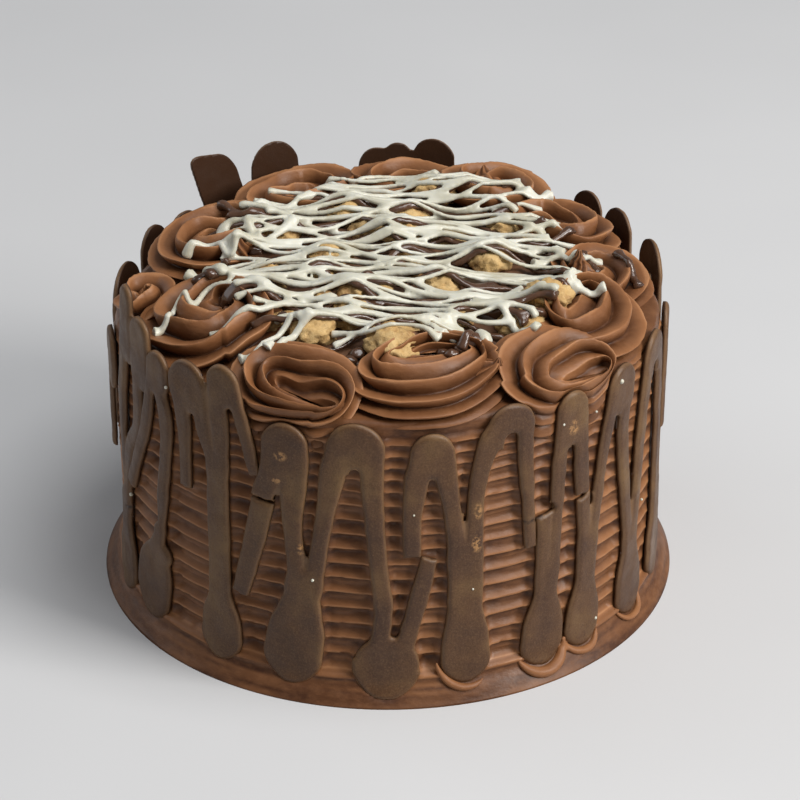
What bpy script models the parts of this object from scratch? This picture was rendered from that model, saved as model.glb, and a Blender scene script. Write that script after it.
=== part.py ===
"""Tall chocolate layer cake: combed sides wrapped in piped chocolate lace, a rim of piped
rosettes, and a topping of cookie chunks under a net of white drizzle.

Metres, +Z up. The origin is the middle of the flat base. Azimuths are in degrees: 0 is the
front, along -Y, and +90 is the right-hand side, along +X.
"""

import math
import random

import bmesh
import bpy
from mathutils import Matrix, Vector, geometry, noise

MM = 0.001
GAP = 0.3 * MM

# Cake: a buttercreamed drum with a smooth skirt at its foot and a combed side above it.
BASE_RADIUS = 106.4 * MM
SIDE_RADIUS = 99.2 * MM
SKIRT_TOP = 10.5 * MM
CAKE_TOP = 110.0 * MM
RIM_ROUNDING = 3.0 * MM
RIM_SETBACK = 0.6 * MM
COMB_PITCH = 6.2 * MM
COMB_DEPTH = 1.7 * MM
COMB_WAVE = 0.4 * MM
FINE_COMB_START = 84.0 * MM
FINE_COMB_PITCH = 4.6 * MM
FINE_COMB_DEPTH = 0.9 * MM
CAKE_SEGMENTS = 44

# Rosettes: one thick rope from an open star nozzle, wound inwards to a hollow centre.
ROPE_RIBS = 3
RIB_DEPTH = 2.6 * MM
ROSETTE_SEGMENTS = 14
ROSETTE_STEPS = 10
ROSETTE_FOOT = 96.0 * MM
RIM_REACH = SIDE_RADIUS + 0.2 * MM
ROSETTE_PROFILE = (
    # outward share of the radius, share of the height, from the foot to the centre
    (0.84, 0.00), (0.97, 0.18), (1.00, 0.38), (0.97, 0.58), (0.88, 0.78), (0.72, 0.94),
    (0.54, 1.00), (0.37, 0.94), (0.23, 0.76), (0.11, 0.58), (0.00, 0.52),
)
NO_OVERHANG = 140.0 * MM
ROSETTES = (
    # azimuth, distance from the axis (mm), radius (mm), height (mm), lean outwards (degrees),
    # lowest point of what hangs over the rim, hand of the swirl, where the rope ends (degrees),
    # height of the pulled tip (mm), 0 for none
    (-20.5, 80.5, 22.5, 11.5, 24, 108.3 * MM, 1, 150, 0),
    (12.0, 77.0, 24.0, 12.0, 6, NO_OVERHANG, -1, 200, 3),
    (42.5, 81.5, 23.0, 11.5, 22, 111.8 * MM, -1, 40, 0),
    (67.0, 81.5, 23.0, 12.5, 12, 113.8 * MM, -1, 250, 0),
    (93.0, 77.5, 23.0, 14.0, 4, NO_OVERHANG, 1, 90, 6),
    (120.5, 77.0, 23.0, 13.0, 8, NO_OVERHANG, -1, 10, 2),
    (148.5, 77.0, 22.5, 13.0, 4, NO_OVERHANG, 1, 60, 6),
    (175.5, 76.0, 23.0, 11.5, 0, NO_OVERHANG, -1, 180, 0),
    (205.0, 75.0, 25.0, 14.0, 2, NO_OVERHANG, 1, 100, 0),
    (241.5, 74.5, 25.5, 13.0, 4, NO_OVERHANG, -1, 300, 0),
    (277.5, 80.0, 21.5, 13.0, 8, NO_OVERHANG, 1, 20, 0),
    (304.0, 71.5, 24.0, 14.5, 6, NO_OVERHANG, -1, 120, 0),
)

# Chocolate lace: piped hoops, wrapped round the side while soft and broken in places.
LACE_INSIDE = SIDE_RADIUS + 0.5 * MM
LACE_THICKNESS = 2.2 * MM
LEG_HALF = 3.2 * MM
LEG_BOW = 0.1
ARC_POINTS = 6
LACE = {
    # end: azimuth, height, half width. hoop: azimuth, top, half width, solid depth of the crown.
    # foot: azimuth and height where the legs join, neck half width, bulb azimuth, height, radius.
    "lace_front_left": (
        ("end", -24.2, 78.4, 3.2), ("hoop", -20.5, 107.8, 8.0, 26),
        ("foot", -15.6, 56, 6.3, -19.2, 15.8, 10.9), ("hoop", -6.2, 110.5, 9.0, 19),
        ("foot", 0.8, 33, 6.5, -0.1, 14.6, 12.1), ("end", 8.2, 57.4, 3.0),
    ),
    "lace_broken_leg": (
        ("end", -24.9, 75.4, 4.4), ("end", -29.2, 36.0, 3.2),
    ),
    "lace_front_centre": (
        ("end", 5.0, 61.0, 3.1), ("hoop", 8.6, 106.0, 7.6, 19),
        ("foot", 15.2, 68, 6.1, 15.8, 15.0, 9.0), ("hoop", 23.4, 113.3, 10.0, 12),
        ("end", 28.9, 57.6, 2.4),
    ),
    "lace_front_right": (
        ("end", 32.3, 66.0, 2.7), ("foot", 33.8, 51, 4.7, 32.7, 14.0, 8.8),
        ("hoop", 39.3, 111.0, 7.0, 21), ("end", 42.2, 69.4, 3.0),
    ),
    "lace_right": (
        ("end", 42.6, 67.8, 3.0), ("foot", 44.8, 54, 4.8, 43.3, 14.0, 8.2),
        ("hoop", 54.2, 111.0, 7.5, 19), ("foot", 59.6, 46, 6.5, 59.8, 14.0, 8.8),
        ("hoop", 69.0, 112.0, 9.0, 13), ("foot", 75.2, 52, 5.0, 75.0, 15.0, 8.5),
    ),
    "lace_left_pair": (
        ("end", -43.6, 70.5, 2.7), ("hoop", -42.0, 120.5, 9.2, 20),
        ("foot", -35.0, 84, 4.7, -35.6, 14.6, 8.7), ("hoop", -33.2, 124.0, 6.4, 15),
        ("end", -27.2, 84.0, 2.4),
    ),
    "lace_left_shovel": (
        ("end", -64.0, 55.0, 3.2), ("hoop", -51.6, 118.0, 6.2, 18),
        ("foot", -51.8, 52, 4.6, -56.6, 15.5, 10.6),
    ),
    "lace_left_tall": (
        ("hoop", -58.5, 126.5, 4.8, 22), ("hoop", -63.6, 134.4, 4.2, 32),
        ("foot", -70.4, 48, 5.0, -70.2, 14.0, 8.6), ("hoop", -79.4, 104.5, 8.4, 22),
        ("end", -85.5, 52.0, 3.2),
    ),
    "lace_left_dark": (
        ("end", -93.0, 52.0, 3.2), ("hoop", -101.5, 107.5, 11.0, 24),
        ("foot", -109.4, 48, 5.5, -109.0, 15.0, 9.4), ("hoop", -114.8, 113.0, 7.5, 20),
        ("end", -119.0, 70.0, 3.2),
    ),
    "lace_back_left": (
        ("end", -123.0, 60.0, 3.2), ("hoop", -128.4, 111.0, 7.4, 24),
        ("foot", -133.6, 58, 5.6, -133.4, 15.0, 9.6), ("hoop", -140.0, 131.0, 9.4, 34),
        ("foot", -147.2, 60, 5.6, -147.0, 15.0, 9.4), ("hoop", -154.0, 128.0, 9.2, 34),
        ("end", -160.5, 66.0, 3.2),
    ),
    "lace_back": (
        ("end", -170.6, 62.0, 3.2), ("hoop", -177.6, 121.0, 7.0, 26),
        ("hoop", -182.1, 123.0, 5.6, 30), ("foot", -186.4, 56, 5.2, -186.2, 15.0, 9.2),
        ("hoop", -190.0, 125.4, 7.9, 28), ("end", -197.0, 60.0, 3.2),
    ),
    "lace_back_right": (
        ("end", 112.8, 63.0, 3.2), ("hoop", 120.2, 118.2, 7.8, 22),
        ("foot", 125.9, 56, 5.0, 125.6, 15.0, 9.0), ("hoop", 130.6, 118.7, 6.8, 22),
        ("foot", 139.2, 54, 5.4, 139.4, 15.0, 9.4), ("hoop", 148.6, 116.0, 8.0, 22),
        ("end", 155.6, 64.0, 3.2),
    ),
    "lace_right_tall": (
        ("end", 81.6, 62.0, 3.2), ("hoop", 87.2, 112.6, 7.4, 16),
        ("foot", 94.0, 54, 5.4, 93.8, 15.0, 9.0), ("hoop", 102.2, 118.6, 8.4, 17),
        ("end", 108.4, 58.0, 3.2),
    ),
}

# Topping: a low bed of cookie chunks held together by chocolate, with thick white drizzle.
TOPPING_REACH = 64.0 * MM
BED_EDGE_TOP = 117.0 * MM
BED_MIDDLE_TOP = 121.0 * MM
BED_SEGMENTS = 24
CHUNK_COUNT = 20
CHUNK_RADIUS = (7.0 * MM, 10.5 * MM)
CHUNK_TOP = 126.0 * MM
DRIZZLE_COUNT = 8
DRIZZLE_RADIUS = 1.9 * MM
DRIZZLE_STEP = 10.0 * MM
DRIZZLE_WAVE = 2.2 * MM
TOPPING_SEED = 11


def place(azimuth, radius, height):
    """The point at an azimuth in degrees, a distance from the axis and a height."""
    angle = math.radians(azimuth)
    return Vector((radius * math.sin(angle), -radius * math.cos(angle), height))


def clear_scene():
    for obj in list(bpy.data.objects):
        bpy.data.objects.remove(obj)


def material(name, colour, roughness):
    made = bpy.data.materials.new(name)
    made.use_nodes = True
    shader = made.node_tree.nodes["Principled BSDF"]
    shader.inputs["Base Color"].default_value = (*colour, 1.0)
    shader.inputs["Roughness"].default_value = roughness
    shader.inputs["Metallic"].default_value = 0.0
    return made


def add_object(name, bm, surface):
    """A named object from a bmesh, with its faces turned outwards and its round parts smooth."""
    bmesh.ops.recalc_face_normals(bm, faces=bm.faces)
    mesh = bpy.data.meshes.new(name)
    bm.to_mesh(mesh)
    bm.free()
    mesh.materials.append(surface)
    mesh.shade_smooth()
    mesh.set_sharp_from_angle(angle=math.radians(35))
    obj = bpy.data.objects.new(name, mesh)
    bpy.context.scene.collection.objects.link(obj)
    return obj


def ring_points(radius, height):
    return [place(360 * i / CAKE_SEGMENTS, radius, height) for i in range(CAKE_SEGMENTS)]


def skin_rings(bm, rings):
    """Quads between rings of points, with a fan over the first and the last ring."""
    loops = [[bm.verts.new(point) for point in ring] for ring in rings]
    count = len(rings[0])
    for low, high in zip(loops, loops[1:]):
        for i in range(count):
            j = (i + 1) % count
            bm.faces.new((low[i], low[j], high[j], high[i]))
    for loop in (loops[0], loops[-1]):
        middle = bm.verts.new(sum((vert.co for vert in loop), Vector()) / count)
        for i in range(count):
            bm.faces.new((loop[i], loop[(i + 1) % count], middle))


def boolean(obj, operation, pieces):
    """Applies an exact Boolean with all the pieces to obj, and removes them."""
    group = bpy.data.collections.new("pieces")
    bpy.context.scene.collection.children.link(group)
    for piece in pieces:
        bpy.context.scene.collection.objects.unlink(piece)
        group.objects.link(piece)
    modifier = obj.modifiers.new(operation.lower(), "BOOLEAN")
    modifier.operation = operation
    modifier.solver = "EXACT"
    modifier.operand_type = "COLLECTION"
    modifier.collection = group
    bpy.context.view_layer.update()
    graph = bpy.context.evaluated_depsgraph_get()
    mesh = bpy.data.meshes.new_from_object(obj.evaluated_get(graph))
    obj.modifiers.clear()
    obj.data = mesh
    for piece in pieces:
        bpy.data.objects.remove(piece)
    bpy.data.collections.remove(group)


def merge_flat_faces(obj):
    """Joins the triangles that a Boolean leaves in flat places."""
    bm = bmesh.new()
    bm.from_mesh(obj.data)
    bmesh.ops.dissolve_limit(bm, angle_limit=math.radians(0.4), verts=bm.verts, edges=bm.edges)
    bmesh.ops.triangulate(bm, faces=bm.faces)
    bm.to_mesh(obj.data)
    bm.free()


def comb_bands():
    """(height, depth below the crest line) up the combed side, crest and groove in turn."""
    bands = []
    height = SKIRT_TOP + COMB_PITCH / 2
    while height < FINE_COMB_START:
        bands += [(height, 0.0), (height + COMB_PITCH / 2, COMB_DEPTH)]
        height += COMB_PITCH
    while height < CAKE_TOP - RIM_ROUNDING - FINE_COMB_PITCH / 2:
        bands += [(height, 0.0), (height + FINE_COMB_PITCH / 2, FINE_COMB_DEPTH)]
        height += FINE_COMB_PITCH
    return bands


def skirt_radius(height):
    """Outer radius at the foot, where the buttercream is smoothed out over the bottom edge."""
    share = min(max(height / SKIRT_TOP, 0.0), 1.0)
    return BASE_RADIUS + (SIDE_RADIUS - BASE_RADIUS) * share


def uneven_ring(height, depth):
    """One ring of the combed side: the grooves vary in depth, and all of it waves up and down."""
    ring = []
    for i in range(CAKE_SEGMENTS):
        azimuth = 360 * i / CAKE_SEGMENTS
        wander = noise.noise(place(azimuth, 2.0, height / COMB_PITCH))
        inward = depth * (1 + 0.5 * wander)
        lift = COMB_WAVE * math.sin(math.radians(3 * azimuth) + 2 * height / COMB_PITCH)
        ring.append(place(azimuth, SIDE_RADIUS - inward, height + lift))
    return ring


def cake(surface):
    rings = []
    for share in (0.0, 0.25, 0.6, 0.92):
        rings.append(ring_points(skirt_radius(share * SKIRT_TOP), share * SKIRT_TOP))
    rings.append(uneven_ring(SKIRT_TOP + 0.12 * COMB_PITCH, 0.8 * COMB_DEPTH))
    rings += [uneven_ring(height, depth) for height, depth in comb_bands()]
    for turn in (0, 45, 90):
        angle = math.radians(turn)
        radius = SIDE_RADIUS - RIM_SETBACK - RIM_ROUNDING * (1 - math.cos(angle))
        height = CAKE_TOP - RIM_ROUNDING * (1 - math.sin(angle))
        rings.append(ring_points(radius, height))
    bm = bmesh.new()
    skin_rings(bm, rings)
    return add_object("cake", bm, surface)


def profile_point(share):
    """Outward and upward shares of the rosette's radius and height, with the outward normal."""
    steps = len(ROSETTE_PROFILE) - 1
    at = min(max(share, 0.0), 1.0) * steps
    index = min(int(at), steps - 1)
    (x0, z0), (x1, z1) = ROSETTE_PROFILE[index], ROSETTE_PROFILE[index + 1]
    part = at - index
    return x0 + (x1 - x0) * part, z0 + (z1 - z0) * part, Vector((z1 - z0, x0 - x1)).normalized()


def rosette_swirl(radius, height, hand, phase, tip):
    """Columns of points from the foot to the centre. Crests and grooves run along the rope,
    so each column starts a little further along the profile than the one before it."""
    advance = 2 * ROPE_RIBS
    columns = []
    for i in range(ROSETTE_SEGMENTS):
        turn = math.radians(phase) + hand * 2 * math.pi * i / ROSETTE_SEGMENTS
        column = {}
        for k in range(-advance, ROSETTE_STEPS + advance + 1):
            share = (k + advance * i / ROSETTE_SEGMENTS) / ROSETTE_STEPS
            out, up, normal = profile_point(share)
            fade = min(1.0, 5 * max(share, 0.0), 4 * max(1 - share, 0.0))
            rib = RIB_DEPTH * fade * (0.5 if k % 2 == 0 else -0.5)
            reach = max(radius * out + rib * normal.x, 0.0)
            rise = height * up + rib * max(normal.y, 0.0)
            if 0.7 < share < 0.95:
                rise += tip * math.exp(-((2 * (turn - math.radians(phase) - hand)) ** 2))
            column[k] = Vector((reach * math.cos(turn), reach * math.sin(turn), rise))
        columns.append(column)
    return columns, advance


def rosette_bmesh(radius, height, lean, centre, azimuth, hand, phase, tip):
    columns, advance = rosette_swirl(radius, height, hand, phase, tip)
    outwards = place(azimuth, 1.0, 0.0)
    tilt = Matrix.Rotation(math.radians(lean), 4, Vector((0, 0, 1)).cross(outwards))
    stand = Matrix.Translation(centre) @ tilt
    bm = bmesh.new()
    verts = [{k: bm.verts.new(stand @ point) for k, point in column.items()} for column in columns]
    for i in range(ROSETTE_SEGMENTS):
        last = i == ROSETTE_SEGMENTS - 1
        for k in range(-advance, ROSETTE_STEPS + (0 if last else advance)):
            here = verts[i]
            there = verts[0] if last else verts[i + 1]
            shift = advance if last else 0
            if k + 1 + shift in there:
                bm.faces.new((here[k], there[k + shift], there[k + 1 + shift], here[k + 1]))
    foot = [stand @ columns[i][-advance] for i in range(ROSETTE_SEGMENTS)]
    rim = [bm.verts.new(point) for point in foot]
    floor = [bm.verts.new((point.x, point.y, ROSETTE_FOOT)) for point in foot]
    for i in range(ROSETTE_SEGMENTS):
        j = (i + 1) % ROSETTE_SEGMENTS
        bm.faces.new((rim[i], rim[j], floor[j], floor[i]))
    bm.faces.new(floor)
    bmesh.ops.remove_doubles(bm, verts=bm.verts, dist=0.01 * MM)
    bmesh.ops.dissolve_degenerate(bm, edges=bm.edges, dist=0.01 * MM)
    return bm


def cut_flat(bm, point, normal):
    """Removes what lies beyond a plane, and closes the cut."""
    geom = bm.verts[:] + bm.edges[:] + bm.faces[:]
    bmesh.ops.bisect_plane(bm, geom=geom, plane_co=point, plane_no=normal, clear_outer=True)
    bmesh.ops.holes_fill(bm, edges=[edge for edge in bm.edges if edge.is_boundary])


def rim_cutter(lip, surface):
    """What the cake and the lace take from a rosette: the drum, and the ring outside it up to lip."""
    wide = 1.5 * SIDE_RADIUS
    below = ROSETTE_FOOT - 10 * MM
    outline = ((wide, below), (wide, lip), (RIM_REACH, lip), (RIM_REACH, CAKE_TOP + GAP))
    bm = bmesh.new()
    skin_rings(bm, [ring_points(radius, height) for radius, height in outline])
    return add_object("rim_cutter", bm, surface)


def rosette_centre(row):
    return place(row[0], row[1] * MM, CAKE_TOP)


def rosettes(surface):
    for index, row in enumerate(ROSETTES):
        azimuth, _, radius, height, lean, lip, hand, phase, tip = row
        centre = rosette_centre(row)
        bm = rosette_bmesh(radius * MM, height * MM, lean, centre, azimuth, hand, phase, tip * MM)
        for step in (-1, 1):
            other = ROSETTES[(index + step) % len(ROSETTES)]
            apart = rosette_centre(other) - centre
            share = 0.5 + (radius**2 - other[2] ** 2) * MM**2 / (2 * apart.length_squared)
            cut_flat(bm, centre + apart * share - apart.normalized() * GAP / 2, apart)
        rosette = add_object(f"rosette_{index + 1:02d}", bm, surface)
        boolean(rosette, "DIFFERENCE", [rim_cutter(lip, surface)])
        merge_flat_faces(rosette)


def arc(centre, radius, start, end, count):
    """Points on an arc in the unrolled side, start to end in degrees from the +s direction."""
    angles = (math.radians(start + (end - start) * i / count) for i in range(count + 1))
    return [Vector((centre.x + radius * math.cos(a), centre.y + radius * math.sin(a))) for a in angles]


def unrolled(azimuth, height):
    """A place on the side as distance round it and height, in metres; height is in millimetres."""
    return Vector((math.radians(azimuth) * LACE_INSIDE, height * MM))


def stroke(points, halves, round_end=False):
    """The outline of a strip along points, with a half width at each and a square or round end."""
    left, right = [], []
    for i, point in enumerate(points):
        along = points[min(i + 1, len(points) - 1)] - points[max(i - 1, 0)]
        across = Vector((-along.y, along.x)).normalized() * halves[i]
        left.append(point + across)
        right.append(point - across)
    cap = []
    if round_end:
        along = points[-1] - points[-2]
        turned = math.degrees(math.atan2(along.y, along.x))
        cap = arc(points[-1], halves[-1], turned + 90, turned - 90, ARC_POINTS)[1:-1]
    return left + cap + right[::-1]


def crown(azimuth, top, half, depth):
    """The round head of a hoop with the arch under it, and where its two legs start."""
    inner = max(half * MM - 2 * LEG_HALF, 0.7 * MM)
    middle = unrolled(azimuth, top)
    spring = Vector((middle.x, middle.y - depth * MM - inner))
    head = Vector((middle.x, middle.y - half * MM))
    outline = [Vector((spring.x + half * MM, spring.y))] + arc(head, half * MM, 0, 180, ARC_POINTS)
    outline += [Vector((spring.x - half * MM, spring.y))] + arc(spring, inner, 180, 0, 3)
    starts = [Vector((spring.x + side * (half * MM + inner) / 2, spring.y)) for side in (-1, 1)]
    return outline, starts, (half * MM - inner) / 2, head


def foot(azimuth, join, neck, bulb_azimuth, bulb_height, bulb_radius):
    """Where two legs run together: a neck that swells into a round bulb."""
    start = unrolled(azimuth, join)
    bulb = unrolled(bulb_azimuth, bulb_height)
    bend = start.lerp(bulb, 0.3)
    shoulder = bulb + Vector((0, 0.5 * bulb_radius * MM))
    halves = [1.15 * LEG_HALF, neck * MM, 0.92 * bulb_radius * MM, bulb_radius * MM]
    return stroke([start, bend, shoulder, bulb], halves, round_end=True), start, bend, bulb


def leg(high, half, low, low_half, into):
    """A leg from inside a crown down to its broken end, or to a joint and on into the neck."""
    middle = high.lerp(low, 0.5) + Vector((LEG_BOW * (high.x - low.x), 0))
    points = [high + Vector((0, 2 * MM)), middle, low]
    halves = [half, LEG_HALF, low_half]
    if into:
        points.append(into)
        halves.append(0.8 * low_half)
    return stroke(points, halves)


def lace_outlines(chain):
    """The overlapping outlines of one panel, and points inside it that keep its curve true."""
    outlines, inside, heads, joints = [], [], {}, {}
    for i, (kind, *sizes) in enumerate(chain):
        if kind == "hoop":
            outline, starts, half, head = crown(*sizes)
            outlines.append(outline)
            inside += [head, head.lerp((starts[0] + starts[1]) / 2, 0.6)]
            heads[i] = (starts, half)
        elif kind == "foot":
            outline, start, bend, bulb = foot(*sizes)
            outlines.append(outline)
            inside += [bulb, bend]
            joints[i] = (start, LEG_HALF, bend)
        else:
            azimuth, height, half = sizes
            joints[i] = (unrolled(azimuth, height), half * MM, None)
    goes_right = chain[1][1] > chain[0][1]
    for i in range(len(chain) - 1):
        if i in heads and i + 1 in heads:
            continue
        if i in heads or i + 1 in heads:
            hoop, low = (i, i + 1) if i in heads else (i + 1, i)
            starts, half = heads[hoop]
            right_leg = (low > hoop) == goes_right
            outlines.append(leg(starts[1 if right_leg else 0], half, *joints[low]))
        else:
            low, high = sorted((joints[i], joints[i + 1]), key=lambda joint: joint[0].y)
            outlines.append(stroke([high[0], low[2] or low[0]], [high[1], low[1]]))
    return outlines, inside


def covers(outline, point):
    """Whether an outline goes round a point."""
    crossings = 0
    for a, b in zip(outline, outline[1:] + outline[:1]):
        if (a.y > point.y) != (b.y > point.y):
            crossings += point.x < a.x + (b.x - a.x) * (point.y - a.y) / (b.y - a.y)
    return crossings % 2 == 1


def joined_flat(outlines, inside):
    """Points and triangles that cover all that the outlines do, with no lines left between them."""
    points, loops = [], []
    for outline in outlines:
        loops.append(list(range(len(points), len(points) + len(outline))))
        points += outline
    verts, _, faces, _, _, _ = geometry.delaunay_2d_cdt(points, [], loops, 1, 0.02 * MM)
    sides = [side for face in faces for side in zip(face, face[1:] + face[:1])]
    used = set(sides)
    border = [(a, b) for a, b in sides if (b, a) not in used]
    corners = sorted({a for a, _ in border})
    number = {corner: k for k, corner in enumerate(corners)}
    rim = [(number[a], number[b]) for a, b in border]
    points = [verts[corner] for corner in corners] + inside
    verts, _, faces, _, _, _ = geometry.delaunay_2d_cdt(points, rim, [], 0, 0.02 * MM)
    middles = [sum((verts[i] for i in face), Vector((0, 0))) / 3 for face in faces]
    kept = [face for face, middle in zip(faces, middles) if any(covers(o, middle) for o in outlines)]
    return verts, kept


def lace_radius(height):
    """The lace lies on the crests and bends outwards over the skirt."""
    return skirt_radius(height) - SIDE_RADIUS + LACE_INSIDE


def lace_panel(name, chain, surface):
    flat, faces = joined_flat(*lace_outlines(chain))
    bm = bmesh.new()
    layers = []
    for thickness in (0.0, LACE_THICKNESS):
        layer = []
        for point in flat:
            azimuth = math.degrees(point.x / LACE_INSIDE)
            layer.append(bm.verts.new(place(azimuth, lace_radius(point.y) + thickness, point.y)))
        layers.append(layer)
    edges = set()
    for face in faces:
        for layer in layers:
            bm.faces.new([layer[i] for i in face])
        edges |= {(a, b) for a, b in zip(face, face[1:] + face[:1])}
    for a, b in edges:
        if (b, a) not in edges:
            bm.faces.new((layers[0][a], layers[0][b], layers[1][b], layers[1][a]))
    bmesh.ops.delete(bm, geom=[vert for vert in bm.verts if not vert.link_faces], context="VERTS")
    return add_object(name, bm, surface)


def lace(surface):
    for name, chain in LACE.items():
        lace_panel(name, chain, surface)


def topping_reach(azimuth):
    """How far the topping spreads from the axis before it meets a rosette."""
    direction = place(azimuth, 1.0, 0.0)
    reach = TOPPING_REACH
    for row in ROSETTES:
        centre = rosette_centre(row)
        along = direction.x * centre.x + direction.y * centre.y
        across = centre.x**2 + centre.y**2 - along**2
        room = (row[2] * MM + 2 * GAP + RIB_DEPTH / 2) ** 2 - across
        if along > 0 and room > 0:
            reach = min(reach, along - math.sqrt(room))
    return reach


def inside_rosettes(x, y, margin):
    """Whether a round piece of this radius fits on the topping clear of every rosette."""
    if math.hypot(x, y) + margin > TOPPING_REACH:
        return False
    for row in ROSETTES:
        centre = rosette_centre(row)
        if math.hypot(x - centre.x, y - centre.y) < row[2] * MM + RIB_DEPTH / 2 + 2 * GAP + margin:
            return False
    return True


def bed_height(azimuth, share):
    """Height of the bed at a share of the way to its edge."""
    rough = 1.2 * MM * noise.noise(place(azimuth, 3 * share, 0.7))
    return BED_MIDDLE_TOP + (BED_EDGE_TOP - BED_MIDDLE_TOP) * share**3 + rough


def topping_bed(surface):
    rings = []
    for share in (0.2, 0.5, 0.8, 0.96, 1.0):
        ring = []
        for i in range(BED_SEGMENTS):
            azimuth = 360 * i / BED_SEGMENTS
            slump = 1.5 * MM if share == 1.0 else 0.0
            ring.append(place(azimuth, share * topping_reach(azimuth), bed_height(azimuth, share) - slump))
        rings.append(ring)
    rings.append([Vector((point.x, point.y, CAKE_TOP + GAP)) for point in rings[-1]])
    bm = bmesh.new()
    skin_rings(bm, rings)
    return add_object("topping", bm, surface)


def chunk(draw, x, y, radius, surface):
    """One piece of cookie: a rough ball, pressed into the bed."""
    bm = bmesh.new()
    bmesh.ops.create_icosphere(bm, subdivisions=1, radius=radius)
    for vert in bm.verts:
        vert.co *= draw.uniform(0.88, 1.08)
    turn = Matrix.Rotation(draw.uniform(0, math.tau), 4, "Z") @ Matrix.Rotation(draw.uniform(0, 1), 4, "X")
    bm.transform(Matrix.Translation((x, y, CHUNK_TOP - radius * 0.9)) @ turn)
    for vert in bm.verts:
        vert.co.z = max(vert.co.z, CAKE_TOP + 2 * MM)
    return add_object("cookie_chunk", bm, surface)


def chunk_places(draw):
    """(x, y, radius) of each chunk: tried at random, and kept where it is clear of the others."""
    placed = []
    while len(placed) < CHUNK_COUNT:
        radius = draw.uniform(*CHUNK_RADIUS)
        x = draw.uniform(-TOPPING_REACH, TOPPING_REACH)
        y = draw.uniform(-TOPPING_REACH, TOPPING_REACH)
        apart = all(math.hypot(x - a, y - b) > 0.95 * (radius + c) for a, b, c in placed)
        if apart and inside_rosettes(x, y, 1.1 * radius):
            placed.append((x, y, radius))
    return placed


def drape_height(x, y, chunks):
    """Where a strand comes to rest on the bed and the chunks."""
    azimuth = math.degrees(math.atan2(x, -y))
    highest = bed_height(azimuth, min(math.hypot(x, y) / topping_reach(azimuth), 1.0))
    for a, b, radius in chunks:
        near = radius**2 - (x - a) ** 2 - (y - b) ** 2
        if near > 0:
            highest = max(highest, CHUNK_TOP - radius * 0.9 + 0.9 * math.sqrt(near))
    return highest


def strand(points, surface):
    """A strip of drizzle with a diamond section along points."""
    bm = bmesh.new()
    rings = []
    for i, point in enumerate(points):
        along = points[min(i + 1, len(points) - 1)] - points[max(i - 1, 0)]
        across = along.cross(Vector((0, 0, 1))).normalized() * DRIZZLE_RADIUS
        up = Vector((0, 0, 0.8 * DRIZZLE_RADIUS))
        rings.append([point + across, point + up, point - across, point - up])
    skin_rings(bm, rings)
    return add_object("drizzle", bm, surface)


def white_drizzle(draw, chunks, surface):
    """Strands from side to side, each at its own small slant."""
    strands = []
    steps = round(TOPPING_REACH / DRIZZLE_STEP)
    for index in range(DRIZZLE_COUNT):
        start = (2 * index / (DRIZZLE_COUNT - 1) - 1) * 0.74 * TOPPING_REACH
        slant = draw.uniform(-0.16, 0.10)
        points = []
        for step in range(-steps, steps + 1):
            x = step * DRIZZLE_STEP
            y = start + slant * x + DRIZZLE_WAVE * math.sin(step * 1.3 + index * 2.1)
            if inside_rosettes(x, y, 1.6 * DRIZZLE_RADIUS):
                points.append(Vector((x, y, drape_height(x, y, chunks))))
        if len(points) > 2:
            strands.append(strand(points, surface))
    return strands


def topping(surface):
    draw = random.Random(TOPPING_SEED)
    places = chunk_places(draw)
    pieces = [chunk(draw, x, y, radius, surface) for x, y, radius in places]
    pieces += white_drizzle(draw, places, surface)
    boolean(topping_bed(surface), "UNION", pieces)


def main():
    clear_scene()
    buttercream = material("chocolate_buttercream", (0.235, 0.112, 0.055), 0.5)
    cake(buttercream)
    rosettes(buttercream)
    lace(material("lace_chocolate", (0.085, 0.052, 0.034), 0.55))
    topping(material("cookie_and_drizzle", (0.60, 0.52, 0.38), 0.5))


main()
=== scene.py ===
"""Looks of the tall chocolate layer cake: combed buttercream, piped swirls, chocolate lace, and a
heap of cookie chunks under white drizzle.

Shapes are worked out in millimetres and turned into metres when a mesh is made. +Z is up and the
origin is the middle of the flat base. Azimuths are in degrees: 0 is the front, along -Y, and +90
is the right-hand side, along +X.
"""

import functools
import itertools
import math
import random
from collections import namedtuple

import bmesh
import bpy
import numpy as np
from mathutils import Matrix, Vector
from mathutils.bvhtree import BVHTree


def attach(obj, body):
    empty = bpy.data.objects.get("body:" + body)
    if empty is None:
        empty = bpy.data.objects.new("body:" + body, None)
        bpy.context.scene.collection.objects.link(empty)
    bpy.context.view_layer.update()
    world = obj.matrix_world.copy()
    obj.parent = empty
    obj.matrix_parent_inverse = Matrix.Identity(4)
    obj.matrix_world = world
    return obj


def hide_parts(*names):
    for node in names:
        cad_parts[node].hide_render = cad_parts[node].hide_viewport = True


MM = 0.001

# Cake, as in the frame.
BASE_RADIUS = 106.4
SIDE_RADIUS = 99.2
SKIRT_TOP = 10.5
CAKE_TOP = 110.0
RIM_ROUNDING = 3.0
RIM_SETBACK = 0.6
# Where the rim slopes in and leaves the lace free: azimuth, half spread in degrees, how far in.
RIM_SLOPES = ((-108.0, 16.0, 8.0), (104.0, 13.0, 7.0))
CAKE_COLUMNS = 480
# Rows of the cake: shares of the skirt's height, degrees round the rim, shares of the top's radius.
SKIRT_ROWS = (0.0, 0.05, 0.12, 0.2, 0.3, 0.4, 0.5, 0.6, 0.7, 0.79, 0.86, 0.92, 0.97, 1.0)
RIM_ROWS = (20, 45, 70, 90)
TOP_ROWS = (0.85, 0.6, 0.3, 0.02)
# How far the plain rim, top and base count as a crest: set low, it gives them painted shade, as under the
# swirls that hang over the rim.
PLAIN_CREST = 0.25

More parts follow.
